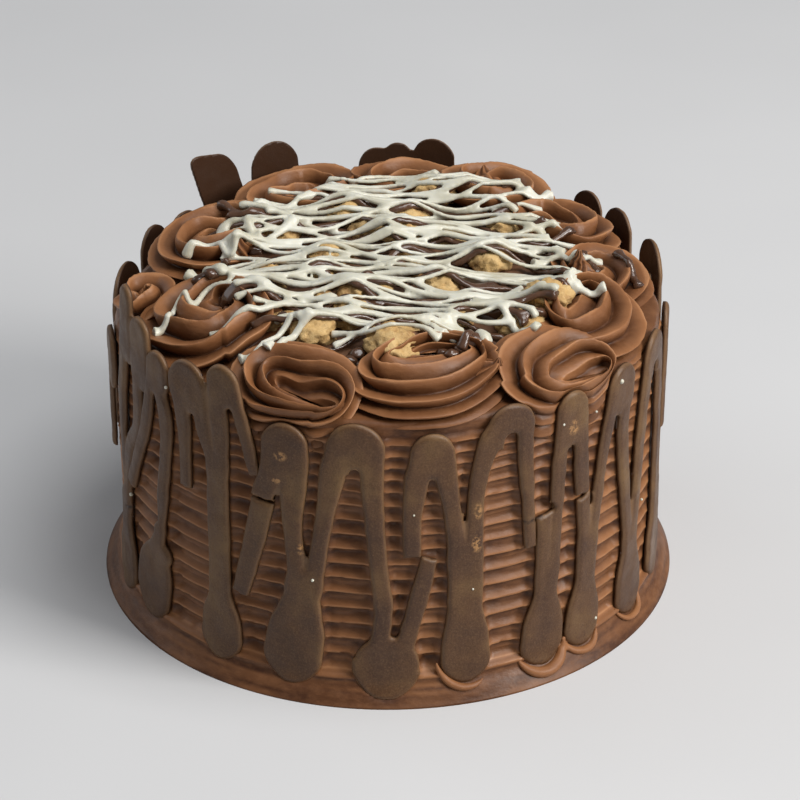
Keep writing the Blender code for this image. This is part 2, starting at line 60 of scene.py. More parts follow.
# Comb marks: a sharp crest over each broad hollow, coarse below and finer towards the rim.
COMB_PITCH = 6.2
COMB_DEPTH = 2.2
FINE_COMB_START = 80.0
FINE_COMB_PITCH = 4.4
FINE_COMB_DEPTH = 1.5
HOLLOW_AT = 0.54
CREST_DROOP = 0.6
# Where every crest has a second one under it: azimuth, half spread, lowest height.
DOUBLED = (23.5, 6, 60)
# Heights between which the marks are smeared away.
SMEARED = (98, 104)
COMB_ROWS = (0.0, 0.06, 0.16, 0.29, 0.42, 0.54, 0.66, 0.77, 0.87, 0.95)

# Rosettes: outward share of the radius and share of the height, from the foot to the centre.
ROSETTE_PROFILE = (
    (0.84, -0.16), (0.96, 0.04), (1.00, 0.26), (0.98, 0.46), (0.91, 0.66), (0.79, 0.84),
    (0.63, 0.97), (0.46, 1.00), (0.30, 0.93), (0.15, 0.80), (0.00, 0.66),
)
ROSETTE_COLUMNS = 120
# Rows of a rib and its hollow as parts of the pitch, how full a rib's back is, and how far the foot
# has tucked in after a whole turn.
RIB_ROWS = (0.0, 0.04, 0.10, 0.19, 0.30, 0.42, 0.52, 0.60, 0.68, 0.77, 0.86, 0.93, 0.975)
RIB_HOLLOW = 0.52
RIB_BODY = 0.6
ROPE_STEP = 0.10
# How far the buttercream stays behind the lace's inner face, and how far it may spread where there
# is none.
LACE_ROOM = 0.4
BARE_ROOM = 1.5
SPREAD_SOFTNESS = 3.0
# azimuth and ring: where it stands. wide and deep: reach to each side, and in and out. lean: how
# far it tips outwards. hand: the way it winds. end: where the rope ends, 0 to the right and 90
# outwards. eye_right and eye_out: where the middle lies. crests: from foot to middle. climb: crests
# climbed in one turn. slit and slit_way: half length of the long middle, and its way from the right
# towards outwards.
Rosette = namedtuple(
    "Rosette", "azimuth ring wide deep height lean hand end eye_right eye_out crests climb slit slit_way")
ROSETTES = (
    Rosette(-21.8, 82.5, 24.0, 19.5, 13.5, 25, -1, 60, 8.0, 5.5, 6.2, 3, 11.5, 14),
    Rosette(10.5, 79.0, 26.5, 21.5, 12.0, 9, -1, -12, 3.0, -13.5, 7.2, 2, 10.0, 0),
    Rosette(38.5, 84.5, 23.0, 21.0, 13.5, 32, -1, 190, 12.0, 6.0, 6.2, 2, 8.5, 8),
    Rosette(63.5, 79.0, 23.0, 20.5, 13.0, 14, -1, -5, 4.0, -13.0, 6.0, 2, 8.0, 0),
    Rosette(91.0, 76.0, 22.0, 19.5, 10.5, 8, -1, 268, -4.0, -8.0, 5.4, 3, 4.0, 60),
    Rosette(119.0, 72.0, 24.5, 21.5, 12.0, 6, 1, 10, 2.0, -2.0, 5.8, 3, 5.0, 120),
    Rosette(148.0, 75.0, 24.0, 21.0, 14.5, 4, -1, 250, 0.0, -3.0, 5.8, 3, 4.0, 30),
    Rosette(175.5, 74.0, 25.5, 21.5, 11.0, 2, -1, 180, 2.0, -2.0, 5.6, 3, 4.0, 0),
    Rosette(206.0, 72.5, 27.0, 22.5, 11.0, 2, 1, 100, 0.0, -2.0, 5.8, 3, 5.0, 160),
    Rosette(246.0, 69.0, 29.0, 22.5, 12.5, 4, 1, 285, 0.0, -4.0, 6.0, 3, 5.0, 20),
    Rosette(283.0, 86.0, 11.5, 11.5, 11.5, 14, -1, 30, 0.0, 1.0, 3.4, 2, 1.0, 90),
    Rosette(304.0, 74.0, 28.5, 26.0, 14.5, 13, -1, 15, -6.0, -11.0, 6.4, 3, 2.0, 30),
)
# Ends of the rope that were pulled away: rosette, then (right, outwards, up, radius) along it.
ROPE_TAILS = (
    (1, ((13, -3, 4, 6.0), (19, -2, 7, 5.0), (23, -1, 10, 2.8), (24, -1, 13, 0.7))),
    (4, ((-4, -6, 5, 6.5), (-5.5, -9, 10, 4.6), (-6.3, -10, 14.5, 2.6), (-6.6, -10.3, 18.5, 0.7))),
    (6, ((4, 2, 7, 8.0), (8, 6, 11, 5.5), (10, 8.3, 15.5, 0.8))),
    (9, ((10, -12, 6, 7.0), (13, -16, 11, 5.0), (15, -17.4, 18.5, 0.8))),
)
TAIL_RIBS = 7
TAIL_RIB_DEPTH = 0.30
TAIL_SIDES = 56

# Lace: piped hoops, wrapped round the side while soft and broken in places.
LACE_INSIDE = SIDE_RADIUS + 0.5
LACE_THICKNESS = 2.2
# How far in from its edge the lace thickens, and shares of the thickness at the edge and inside it.
LACE_EDGE = 1.9
EDGE_SHARE = 0.42
BODY_SHARE = 0.5
# The grid that a run is cut from: its step, how far it goes past the run, and its lowest row.
LACE_GRID = 0.8
LACE_MARGIN = 15
LACE_LOWEST = 1.5
# How wide the painted highlight along the lace's edge is, and a depth that is outside every run.
EDGE_HIGHLIGHT_WIDTH = 1.4
FAR_OUTSIDE = -1e3
# Half width and bow of a plain leg, the web between two forms that meet, and how far below the arch
# two legs join.
LEG_HALF = 3.2
LEG_BOW = 0.1
JOINT_WEB = 1.5
JOINT_DROP = 6.0
# How far the foot bends outwards over the skirt, and the height from which it does.
LACE_BEND = 5.5
LACE_BEND_FROM = 10.0
# What comes along a run of lace. Hoop: its top, half width, how deep the crown is solid, half width of
# the arch, and any lean. Foot: where two legs join, half width of the neck, and the bulb under it.
# Via and End: a leg on its way, and where one broke off. Blob: a round bulge.
Hoop = namedtuple("Hoop", "azimuth height half depth arch lean", defaults=(0.0,))
Foot = namedtuple("Foot", "azimuth height neck bulb_azimuth bulb_height bulb_radius")
Via = namedtuple("Via", "azimuth height half")
End = namedtuple("End", "azimuth height half")
Blob = namedtuple("Blob", "azimuth height half")
LACE = {
    "lace_front_left": (
        End(-24.8, 76.9, 4.3), Via(-24.6, 79.5, 4.3), Via(-23.4, 85.0, 4.4), Via(-21.9, 93.0, 5.2),
        Hoop(-20.0, 107.8, 8.0, 24, 0.1), Via(-18.4, 84.0, 4.9), Via(-18.7, 70.0, 3.6),
        Foot(-15.6, 55.5, 6.6, -19.2, 15.8, 10.9), Via(-12.7, 67.0, 3.1), Via(-11.5, 80.0, 3.5),
        Via(-10.4, 91.0, 4.6), Hoop(-6.0, 110.5, 9.6, 17.5, 2.2), Via(-2.8, 91.0, 4.1),
        Via(-2.5, 77.0, 3.5), Via(-1.4, 50.0, 3.2), Via(-0.7, 39.0, 3.3),
        Foot(1.9, 29, 7.6, -0.1, 14.4, 12.1), Via(5.9, 39.0, 3.3), Via(7.2, 49.0, 3.1),
        End(8.3, 57.8, 2.9),
    ),
    "lace_broken_leg": (
        End(-24.9, 75.8, 4.3), Via(-25.1, 73.0, 4.3), Via(-27.4, 56.0, 3.9), End(-30.6, 35.6, 3.3),
    ),
    "lace_front_centre": (
        End(5.0, 58.4, 3.1), Via(4.9, 74.0, 3.3), Via(5.6, 88.0, 4.0), Hoop(8.8, 106.2, 7.3, 17, 1.8),
        Via(11.6, 89.0, 3.8), Via(12.6, 78.0, 3.3), Foot(15.4, 67, 6.3, 15.8, 15.0, 9.0),
        Via(17.6, 81.0, 3.1), Via(18.8, 92.0, 3.4), Via(20.4, 101.0, 4.2),
        Hoop(24.7, 113.3, 8.6, 11, 3.0), Via(27.9, 94.0, 3.1), Via(28.7, 74.0, 2.4), End(29.4, 55.0, 2.2),
    ),
    "lace_front_right": (
        End(32.3, 66.0, 2.8), Foot(34.0, 51, 4.8, 32.7, 14.0, 8.8), Via(35.5, 68.0, 2.6),
        Via(35.9, 84.0, 3.0), Hoop(39.1, 111.0, 6.4, 20.5, 1.2), Via(41.7, 84.0, 3.3),
        End(42.3, 68.8, 3.1),
    ),
    "lace_right": (
        End(42.6, 67.6, 3.1), Foot(44.6, 56, 4.8, 43.3, 14.0, 8.2), Via(47.3, 71.0, 2.5),
        Via(48.6, 84.0, 2.6), Hoop(54.0, 111.0, 7.3, 18, 1.2), Via(54.7, 84.0, 3.3),
        Foot(59.4, 46, 5.0, 59.8, 14.0, 8.8), Via(62.8, 76.0, 3.1), Hoop(69.0, 112.0, 8.6, 12, 2.4),
        Via(73.6, 82.0, 3.1), Foot(75.2, 52, 5.0, 75.0, 15.0, 8.5),
    ),
    "lace_left_pair": (
        End(-43.8, 70.5, 2.6), Via(-43.7, 84.0, 2.6), Via(-43.8, 96.0, 3.4),
        Hoop(-42.4, 120.5, 8.9, 19, 0.9), Via(-38.4, 98.0, 3.6), Foot(-35.2, 92, 4.6, -35.6, 14.6, 8.7),
        Via(-34.4, 104.0, 3.7), Hoop(-33.3, 124.0, 6.2, 15, 0.8), Via(-28.8, 102.0, 2.6),
        Via(-27.4, 92.0, 2.4), End(-26.4, 85.0, 2.2),
    ),
    "lace_left_shovel": (
        End(-65.4, 54.0, 3.0), Via(-60.6, 71.0, 2.8), Via(-56.6, 87.0, 2.9),
        Hoop(-51.6, 118.0, 5.8, 16.5, 0.8), Via(-49.5, 94.0, 3.4), Via(-50.0, 78.0, 2.8),
        Via(-51.4, 62.0, 2.9), Foot(-52.6, 50, 2.9, -57.1, 17.2, 11.0), Blob(-51.9, 35.2, 4.0),
    ),
    "lace_left_tall": (
        Hoop(-57.8, 126.4, 6.2, 28, 0.8), Via(-60.2, 84.0, 3.2), Via(-64.8, 70.0, 3.2),
        Foot(-69.0, 52, 4.2, -70.2, 14.0, 8.6), Via(-68.9, 82.0, 3.0), Via(-66.6, 104.0, 3.2),
        Hoop(-63.6, 134.4, 4.2, 30, 0.8), Hoop(-79.4, 104.5, 8.4, 22, 1.6), End(-85.5, 52.0, 3.2),
    ),
    "lace_left_dark": (
        End(-94.0, 52.0, 3.2), Hoop(-104.0, 108.0, 14.0, 24, 4.0),
        Foot(-112.4, 48, 5.5, -112.0, 15.0, 9.4), Hoop(-118.4, 112.5, 8.0, 20, 1.4),
        End(-122.0, 70.0, 3.0),
    ),
    "lace_back_left": (
        End(-125.2, 60.0, 3.0), Hoop(-129.4, 111.0, 7.4, 24, 1.2),
        Foot(-133.6, 58, 5.6, -133.4, 15.0, 9.6), Hoop(-143.6, 138.0, 9.6, 40, 2.4, 0.33),
        Foot(-147.2, 60, 5.6, -147.0, 15.0, 9.4), Hoop(-154.0, 128.0, 9.2, 34, 2.4),
        End(-160.5, 66.0, 3.2),
    ),
    "lace_back": (
        End(-170.6, 62.0, 3.2), Hoop(-177.6, 121.0, 7.0, 26, 1.0), Hoop(-182.1, 123.0, 5.6, 30, 0.8),
        Foot(-186.4, 56, 5.2, -186.2, 15.0, 9.2), Hoop(-190.0, 125.4, 7.9, 28, 1.4),
        End(-197.0, 60.0, 3.2),
    ),
    "lace_back_right": (
        End(114.2, 66.0, 3.2), Hoop(120.2, 118.2, 7.8, 22, 1.4), Foot(125.9, 56, 5.0, 125.6, 15.0, 9.0),
        Hoop(130.6, 118.7, 6.8, 22, 1.0), Foot(139.2, 54, 5.4, 139.4, 15.0, 9.4),
        Hoop(148.6, 116.0, 8.0, 22, 1.6), End(155.6, 64.0, 3.2),
    ),
    "lace_right_tall": (
        End(81.6, 62.0, 3.2), Hoop(87.2, 107.0, 7.4, 16, 1.4), Foot(95.0, 54, 5.4, 94.8, 15.0, 9.0),
        Hoop(104.0, 117.5, 10.8, 13, 1.8), End(109.6, 60.0, 3.2),
    ),
}
# Slanted cuts across a crown: azimuth, height, way to the cut part in degrees (90 is up), reach.
LACE_CUTS = ((-138.6, 129.4, 103, 18.0),)
CUT_ROUNDING = 6.0
# Small holes: azimuth, height, radius.
LACE_HOLES = ((104.0, 101.6, 1.7),)
# Curls of buttercream that a bulb pushed out when the lace was pressed on: azimuth, height and
# radius of the bulb, where the curl starts and ends (0 right, 90 up), and how thick it is.
CURLS = (
    (15.8, 15.0, 9.0, 180, 305, 1.8), (32.7, 14.0, 8.8, 205, 350, 2.3), (43.3, 14.0, 8.2, 190, 330, 1.6),
    (59.8, 14.0, 8.8, 200, 340, 1.5),
)
# Crest value of the curls: high, so they get the lit colour and little of the painted shade.
CURL_CREST = 0.8
# Tiny bright flecks on the lace: azimuth, height, radius.
FLECKS = (
    (-14.5, 48.3, 0.55), (52.5, 106.0, 0.9), (44.8, 99.8, 0.45), (36.2, 100.3, 0.5), (46.8, 14.2, 0.6),
    (63.4, 48.9, 0.5), (-48.0, 107.0, 0.6), (-64.5, 50.0, 0.7), (16.9, 44.0, 0.4), (5.2, 76.0, 0.4),
)
# Smudges of buttercream on the lace: azimuth, height, half width, half height.
SMUDGES = (
    (-20.6, 95.5, 2.6, 2.0), (-21.4, 85.5, 2.2, 1.4), (-6.0, 92.5, 0.8, 1.6), (17.8, 75.0, 1.6, 3.4),
    (17.6, 62.0, 2.0, 3.6), (38.8, 97.6, 2.6, 3.0), (-16.8, 60.0, 1.6, 2.4),
)
# Cracks across a leg: azimuth, height, slant in degrees.
CRACKS = ((-65.0, 43.0, 15), (28.6, 66.0, 0))
CRACK_HALF = 0.45
CRACK_REACH = 6.0
CRACK_DEPTH = 0.5

# Heap: the glaze, and the chunks, chips and strands that lie on it.
HEAP_REACH = 67.0
GLAZE_MIDDLE = 120.0
GLAZE_EDGE = 114.0
CHUNK_SEED = 23
SHOWN_CHUNKS = (
    # x, y, radius and rise of the chunks that show between and beside the drizzle
    (-25.8, -51.0, 9.0, 3.0), (-36.5, -44.0, 7.0, 2.5), (1.5, -60.0, 10.0, 4.0), (13.0, -54.0, 8.0, 3.0),
    (56.5, -30.0, 9.0, 8.0), (46.0, -41.0, 8.5, 2.5), (-43.0, -20.0, 7.0, 1.5), (36.6, 1.0, 8.0, 1.5),
    (43.4, 31.0, 7.5, 1.5), (4.5, 20.7, 7.5, 1.5), (-15.7, 40.0, 8.0, 1.5), (17.6, 60.0, 8.5, 5.0),
    (-20.5, 4.3, 7.5, 1.5), (-15.5, 70.0, 5.0, 2.0), (50.0, 16.0, 7.0, 1.5),
)
SHOWN_CHIPS = (
    # x, y and size of the dark pieces that show at the heap's front
    (-13.0, -65.0, 3.0), (-10.0, -62.0, 3.4), (29.5, -61.0, 4.6), (22.0, -68.0, 2.6), (25.5, -65.0, 2.8),
    (19.0, -66.0, 2.2), (-11.5, -68.0, 2.4), (31.0, -57.0, 3.6),
)
CHUNK_COUNT = 30
CHIP_COUNT = 40
WHITE_SEED = 5
WHITE_STRANDS = 20
NET_MIDDLE = (3.0, 5.0)
NET_REACH = 67.0
WHITE_SLANT = (0.08, 0.26)
DARK_STRANDS = 15
STRAND_STEP = 1.6
DROP_FROM = 160.0
# Dark drips that ran on over the swirls, as (x, y) along the strand.
DARK_TAILS = (
    ((70, 5), (73, 2), (76, -3)), ((83, 8), (86, 2), (89, -5), (90, -9)), ((25, -66), (29, -60), (32, -53)),
    ((48, -48), (44, -44), (38, -40)),
)
# Ends of the white drizzle that run on over the swirls, as (x, y) along the strand.
WHITE_TAILS = (
    ((-50, -70), (-46, -68), (-41, -61), (-33, -52), (-23, -46), (-10, -44)),
    ((-61, -52), (-53, -49), (-42, -45), (-30, -36), (-18, -34)),
    ((-81, -46), (-76, -44), (-75, -36), (-72, -29), (-68, -34), (-63, -25), (-53, -27), (-42, -33)),
    ((-78, -1), (-75, -5), (-74, -11)), ((-72, 0), (-67, -4), (-61, -12), (-55, -14)),
    ((-73, 8), (-68, 10), (-62, 11), (-56, 4.5), (-52, 13), (-46, 16)),
    ((-76, -14), (-71, -7), (-65, -16), (-58, -21)),
    ((-61, 23), (-54, 27), (-49, 17), (-44, 14), (-34, 26)),
    ((-52, 40), (-47, 42), (-38, 45), (-29, 52)),
    ((77, 6), (72, 3), (67, -4), (62, 0), (52, -3)),
    ((61, 55), (55, 51), (47, 52)),
    ((52, -55), (46, -51), (39, -42), (30, -36)),
    ((66, -20), (61, -16), (56, -10), (48, -9)),
    ((19.5, -61), (15, -57), (10, -52), (1, -47)),
    ((34, -62), (29, -55), (20, -47)),
    ((-41, -69), (-38, -66), (-32, -58), (-26, -52)), ((66, -22), (71, -25), (77, -25)),
)


def noise(seed, x, y, z=0.0):
    """Value noise from -1 to 1, with features about one unit across."""
    x, y, z = np.broadcast_arrays(np.asarray(x, float), y, z)
    cells = [np.floor(v).astype(np.int64) for v in (x, y, z)]
    eased = [(v - c) ** 2 * (3 - 2 * (v - c)) for v, c in zip((x, y, z), cells)]
    total = np.zeros(x.shape)
    for corner in itertools.product((0, 1), repeat=3):
        weight = np.ones(x.shape)
        mixed = np.full(x.shape, 7919 * seed, dtype=np.int64)
        for cell, ease, step, prime in zip(cells, eased, corner, (73856093, 19349663, 83492791)):
            weight = weight * (ease if step else 1 - ease)
            mixed = mixed ^ ((cell + step) * prime)
        mixed = ((mixed ^ (mixed >> 15)) * 2246822519) & 0xFFFFFFFF
        mixed = ((mixed ^ (mixed >> 13)) * 3266489917) & 0xFFFFFFFF
        total += weight * (((mixed >> 8) & 0xFFFF) / 32767.5 - 1)
    return total


def clamped(value):
    return np.clip(value, 0.0, 1.0)


def smooth_step(low, high, value):
    share = clamped((value - low) / (high - low))
    return share * share * (3 - 2 * share)


def bell(away, width):
    """1 in the middle, and about a third where it is one width away."""
    return np.exp(-((away / width) ** 2))


def place(azimuth, radius, height):
    """Points (..., 3) from azimuth in degrees, distance from the axis and height."""
    angle = np.radians(azimuth)
    return np.stack(np.broadcast_arrays(radius * np.sin(angle), -radius * np.cos(angle), height), axis=-1)


def flat_azimuth(x):
    """Azimuth of a distance round the unrolled side."""
    return np.degrees(x / LACE_INSIDE)


def unrolled(azimuth):
    return np.radians(azimuth) * LACE_INSIDE


def mesh_object(name, points, faces, surface, slot, replaced=(), values=None):
    """A smooth-shaded piece from points in millimetres, riding on the cake."""
    mesh = bpy.data.meshes.new(name)
    mesh.from_pydata((np.asarray(points) * MM).tolist(), [], np.asarray(faces).tolist())
    for key, numbers in (values or {}).items():
        store(mesh, key, numbers)
    return finished(name, mesh, surface, replaced)


def store(mesh, key, numbers):
    layer = mesh.attributes.new(key, "FLOAT", "POINT")
    layer.data.foreach_set("value", np.ravel(numbers).astype(np.float32))


def shown(name, data):
    obj = bpy.data.objects.new(name, data)
    bpy.context.scene.collection.objects.link(obj)
    return obj


def finished(name, mesh, surface, replaced):
    mesh.materials.append(surface)
    mesh.shade_smooth()
    obj = shown(name, mesh)
    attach(obj, "root")
    if replaced:
        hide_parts(*replaced)
    return obj


def grid_faces(rows, columns, wrap):
    """Quads of a grid of points; wrap joins the last column to the first."""
    number = np.arange(rows * columns).reshape(rows, columns)
    if wrap:
        number = np.concatenate([number, number[:, :1]], axis=1)
    corners = (number[:-1, :-1], number[:-1, 1:], number[1:, 1:], number[1:, :-1])
    return np.stack([corner.ravel() for corner in corners], axis=1)


def unit(vectors):
    return vectors / np.maximum(np.linalg.norm(vectors, axis=1, keepdims=True), 1e-9)


def ways_across(line, upright):
    """Two unit vectors square to a line at each of its points: one level, one upwards."""
    along = unit(np.gradient(line, axis=0))
    across = unit(np.cross(along, upright))
    return across, np.cross(across, along)


# Lace

def strip_depth(x, y, points):
    """How deep a place lies inside a strip along (x, y, half width) points; negative outside."""
    depth = np.full(x.shape, FAR_OUTSIDE)
    for (ax, ay, ar), (bx, by, br) in zip(points, points[1:]):
        dx, dy = bx - ax, by - ay
        share = clamped(((x - ax) * dx + (y - ay) * dy) / max(dx * dx + dy * dy, 1e-6))
        here = ar + (br - ar) * share - np.hypot(x - ax - share * dx, y - ay - share * dy)
        depth = np.maximum(depth, here)
    return depth


def blended(a, b, web=JOINT_WEB):
    """The larger of two depths, with the inner corner between them filled."""
    near = np.maximum(web - np.abs(a - b), 0.0) / web
    return np.maximum(a, b) + near * near * web / 4


def smooth_line(points, pieces=5):
    """A Catmull-Rom curve through points of any size."""
    points = np.array(points, float)
    padded = np.concatenate([2 * points[:1] - points[1:2], points, 2 * points[-1:] - points[-2:-1]])
    a, b, c, d = (padded[i:len(padded) - 3 + i, None] for i in range(4))
    t = (np.arange(pieces) / pieces)[:, None]
    line = 0.5 * (2 * b + (c - a) * t + (2 * a - 5 * b + 4 * c - d) * t**2
                  + (3 * b - a - 3 * c + d) * t**3)
    return np.concatenate([line.reshape(-1, points.shape[1]), points[-1:]])


def crown_depth(x, y, hoop):
    """The round head of a hoop, with the arch cut out under it; lean shifts it for each mm up."""
    spring = hoop.height - hoop.depth - hoop.arch
    x = x - hoop.lean * np.maximum(y - spring, 0.0)
    middle, shoulder = unrolled(hoop.azimuth), hoop.height - hoop.half
    low = min(shoulder, spring + hoop.half)
    head = strip_depth(x, y, [(middle, shoulder, hoop.half), (middle, low, hoop.half)])
    return np.minimum(head, np.hypot(x - middle, np.maximum(y - spring, 0.0)) - hoop.arch)


def crown_start(hoop, side):
    """Where the leg on one side (-1 left, 1 right) of a hoop starts, with its half width."""
    level = hoop.height - (hoop.depth if hoop.lean else min(hoop.half, hoop.depth))
    middle = unrolled(hoop.azimuth) + hoop.lean * hoop.arch
    return middle + side * (hoop.half + hoop.arch) / 2, level, (hoop.half - hoop.arch) / 2


def foot_points(foot):
    """From just under where two legs join, down a straight neck that swells into a round bulb."""
    azimuth, join, neck, bulb_azimuth, bulb_height, bulb_radius = foot
    start = np.array([unrolled(azimuth), join])
    bulb = np.array([unrolled(bulb_azimuth), bulb_height])
    points = []
    for above, half in ((2.9, neck), (2.2, neck), (1.5, 0.62 * neck + 0.38 * bulb_radius),
                        (0.8, 0.94 * bulb_radius), (0.0, bulb_radius)):
        level = bulb_height + above * bulb_radius
        if level < join - 1.6 * neck:
            share = (join - level) / (join - bulb_height)
            points.append((*(start + share * (bulb - start)), half))
    top = start + 1.5 * neck / (join - bulb_height) * (bulb - start)
    return [(*top, neck)] + points


def broken(depth, x, y, end, before, reach):
    """Lace snapped off square at end, coming from before, as far as reach round the end."""
    along = np.array(end[:2]) - np.array(before[:2])
    along /= np.hypot(*along)
    jagged = 0.35 * noise(3, x / 1.3, y / 1.3)
    left = (end[0] - x) * along[0] + (end[1] - y) * along[1] + jagged
    near = np.hypot(x - end[0], y - end[1]) < reach
    return np.where(near, np.minimum(depth, left), depth)


def joint(foot, side):
    """Where a leg on one side (-1 left, 1 right) meets a foot, and on into the neck."""
    azimuth, join, neck, bulb_azimuth, bulb_height, _ = foot
    half = min(LEG_HALF, 0.55 * neck)
    aside = side * (neck - half)
    middle = unrolled(azimuth)
    fall = (unrolled(bulb_azimuth) - middle) / (join - bulb_height)
    drop, lower = JOINT_DROP, JOINT_DROP + neck
    return [(middle + drop * fall + aside, join - drop, half),
            (middle + lower * fall + 0.9 * aside, join - lower, half)]


def lace_depth(x, y, chain):
    """How deep a place on the unrolled side lies inside one run of lace."""
    depths = []
    for item in chain:
        if isinstance(item, Hoop):
            depths.append(crown_depth(x, y, item))
        elif isinstance(item, Foot):
            depths.append(strip_depth(x, y, smooth_line(foot_points(item))))
        elif isinstance(item, Blob):
            depths.append(strip_depth(x, y, [on_side(item), on_side(item)]))
    stops = [index for index, item in enumerate(chain) if isinstance(item, (Hoop, Foot, End))]
    for first, second in zip(stops, stops[1:]):
        if not (isinstance(chain[first], Hoop) and isinstance(chain[second], Hoop)):
            line = leg_points(chain[first], chain[second], chain[first + 1:second])
            depths.append(strip_depth(x, y, smooth_line(line)))
    total = functools.reduce(blended, depths)
    for index, item in enumerate(chain):
        if isinstance(item, End):
            beside = chain[index + 1] if index == 0 else chain[index - 1]
            total = broken(total, x, y, on_side(item), on_side(beside), item.half + 2.2)
    for azimuth, height, way, reach in LACE_CUTS:
        across, up, turn = x - unrolled(azimuth), y - height, math.radians(way)
        past = across * math.cos(turn) + up * math.sin(turn)
        cut = -blended(-total, past, CUT_ROUNDING)
        total = np.where(np.hypot(across, up) < reach, cut, total)
    for azimuth, height, radius in LACE_HOLES:
        total = np.minimum(total, np.hypot(x - unrolled(azimuth), y - height) - radius)
    return total


def on_side(item):
    """(x, y, half width) of a stop on the unrolled side."""
    return unrolled(item.azimuth), item.height, item[2]


def leg_points(first, second, vias):
    """Points down the leg between two stops of a run, on into a neck or past a snapped end."""
    high, low = sorted((first, second), key=lambda stop: -stop.height)
    vias = [on_side(via) for via in (vias[::-1] if isinstance(second, Hoop) else vias)]
    side = 1 if low.azimuth > high.azimuth else -1
    end = joint(low, -side) if isinstance(low, Foot) else [on_side(low)]
    if isinstance(high, Hoop):
        top, level, half = crown_start(high, side)
        if not vias:
            vias = [((top + end[0][0]) / 2 + LEG_BOW * (top - end[0][0]), (level + end[0][1]) / 2, LEG_HALF)]
        points = [(top, level, half), *vias, *end]
    else:
        points = [on_side(high), *vias, *end]
        points.insert(0, stretched(points[1], points[0]))
    if isinstance(low, End):
        points.append(stretched(points[-2], points[-1]))
    return points


def stretched(start, end):
    """A point just past end on the line from start, as wide as the end."""
    far = math.hypot(end[0] - start[0], end[1] - start[1])
    return end[0] + (end[0] - start[0]) / far, end[1] + (end[1] - start[1]) / far, end[2]


def any_lace_depth(azimuth, height):
    """Depth inside the nearest run of lace, seen from a place on the side."""
    total = np.full(np.shape(azimuth), FAR_OUTSIDE)
    for chain in LACE.values():
        azimuths = [item.azimuth for item in chain]
        middle = (min(azimuths) + max(azimuths)) / 2
        reach = (max(azimuths) - min(azimuths)) / 2 + 9
        turned = (azimuth - middle + 180) % 360 - 180
        near = np.abs(turned) < reach
        x = unrolled(turned[near] + middle)
        total[near] = np.maximum(total[near], lace_depth(x, height[near], chain))
    return total


def lace_radius(height):
    """The lace lies on the crests, and its bulbs bend outwards over the skirt."""
    return LACE_INSIDE + LACE_BEND * clamped(1 - height / LACE_BEND_FROM) ** 2


def spots(azimuth, height, places):
    """1 at the middle of any of the places (azimuth, height, half width, half height), 0 outside."""
    total = np.zeros(np.shape(azimuth))
    for a, z, wide, high in places:
        across = unrolled(azimuth - a) / wide
        total = np.maximum(total, np.exp(-(across**2) - ((height - z) / high) ** 2))
    return total


def crack_lines(azimuth, height):
    total = np.zeros(np.shape(azimuth))
    for a, z, slant in CRACKS:
        x, y = unrolled(azimuth - a), height - z
        turn = math.radians(slant)
        off = y * math.cos(turn) - x * math.sin(turn) + 0.3 * noise(4, x / 1.5, 0)
        total = np.maximum(total, bell(off, CRACK_HALF) * (np.abs(x) < CRACK_REACH))
    return total


def lace_panel(node, chain, surface, seed):
    """One run of lace: the cells of a grid that lie inside it, with the edge pulled on to its outline."""
    azimuths = [item.azimuth for item in chain]
    tops = [item.height for item in chain]
    left, right = unrolled(min(azimuths)) - LACE_MARGIN, unrolled(max(azimuths)) + LACE_MARGIN
    x, y = np.meshgrid(
        np.arange(left, right, LACE_GRID), np.arange(LACE_LOWEST, max(tops) + 2, LACE_GRID))
    depth = lace_depth(x, y, chain) + 0.22 * noise(seed, x / 5, y / 5)
    down, across = np.gradient(depth, LACE_GRID)
    steep = np.maximum(across**2 + down**2, 0.2)
    pulled = np.where(depth < 0, -depth, 0.0) / steep
    x, y = x + pulled * across, y + pulled * down
    inside = depth > 0
    cells = inside[:-1, :-1] | inside[:-1, 1:] | inside[1:, :-1] | inside[1:, 1:]
    rows, columns = depth.shape
    faces = grid_faces(rows, columns, False)[cells.ravel()]
    used = np.unique(faces)
    number = np.full(rows * columns, -1)
    number[used] = np.arange(len(used))
    faces = number[faces]
    x, y, depth = x.ravel()[used], y.ravel()[used], np.maximum(depth.ravel()[used], 0.0)
    azimuth = flat_azimuth(x)
    rounding = np.sqrt(clamped(1 - (1 - np.minimum(depth / LACE_EDGE, 1.0)) ** 2))
    crack = crack_lines(azimuth, y)
    thick = LACE_THICKNESS * (EDGE_SHARE + BODY_SHARE * rounding) - CRACK_DEPTH * crack
    thick += (0.08 + 0.02 * depth) * noise(seed + 1, x / 4, y / 6)
    thick += 0.05 * noise(seed + 2, x / 1.2, y / 1.2)
    thick = np.minimum(thick, LACE_THICKNESS)
    inner = place(azimuth, lace_radius(y), y)
    outer = place(azimuth, lace_radius(y) + thick, y)
    count = len(used)
    sides = np.concatenate([faces[:, [i, (i + 1) % 4]] for i in range(4)])
    known = set(map(tuple, sides))
    walls = [(a, b, b + count, a + count) for a, b in sides if (b, a) not in known]
    points = np.concatenate([outer, inner])
    shell = np.concatenate([faces, faces[:, ::-1] + count, np.array([w[::-1] for w in walls])])
    return mesh_object(
        "piped_" + node, points, shell, surface, "lace_chocolate", (node,),
        {
            # Painted highlight along the lace's edge.
            "rim": np.tile(1 - np.minimum(depth / EDGE_HIGHLIGHT_WIDTH, 1.0), 2),
            # Painted shade on the lace's inner face.
            "inside": np.repeat((0.0, 1.0), count),
            "smudge": np.tile(spots(azimuth, y, SMUDGES), 2),
            # Painted shade in the cracks, over the shallow grooves cut for them.
            "crack": np.tile(crack, 2),
        },
    )


# Cake

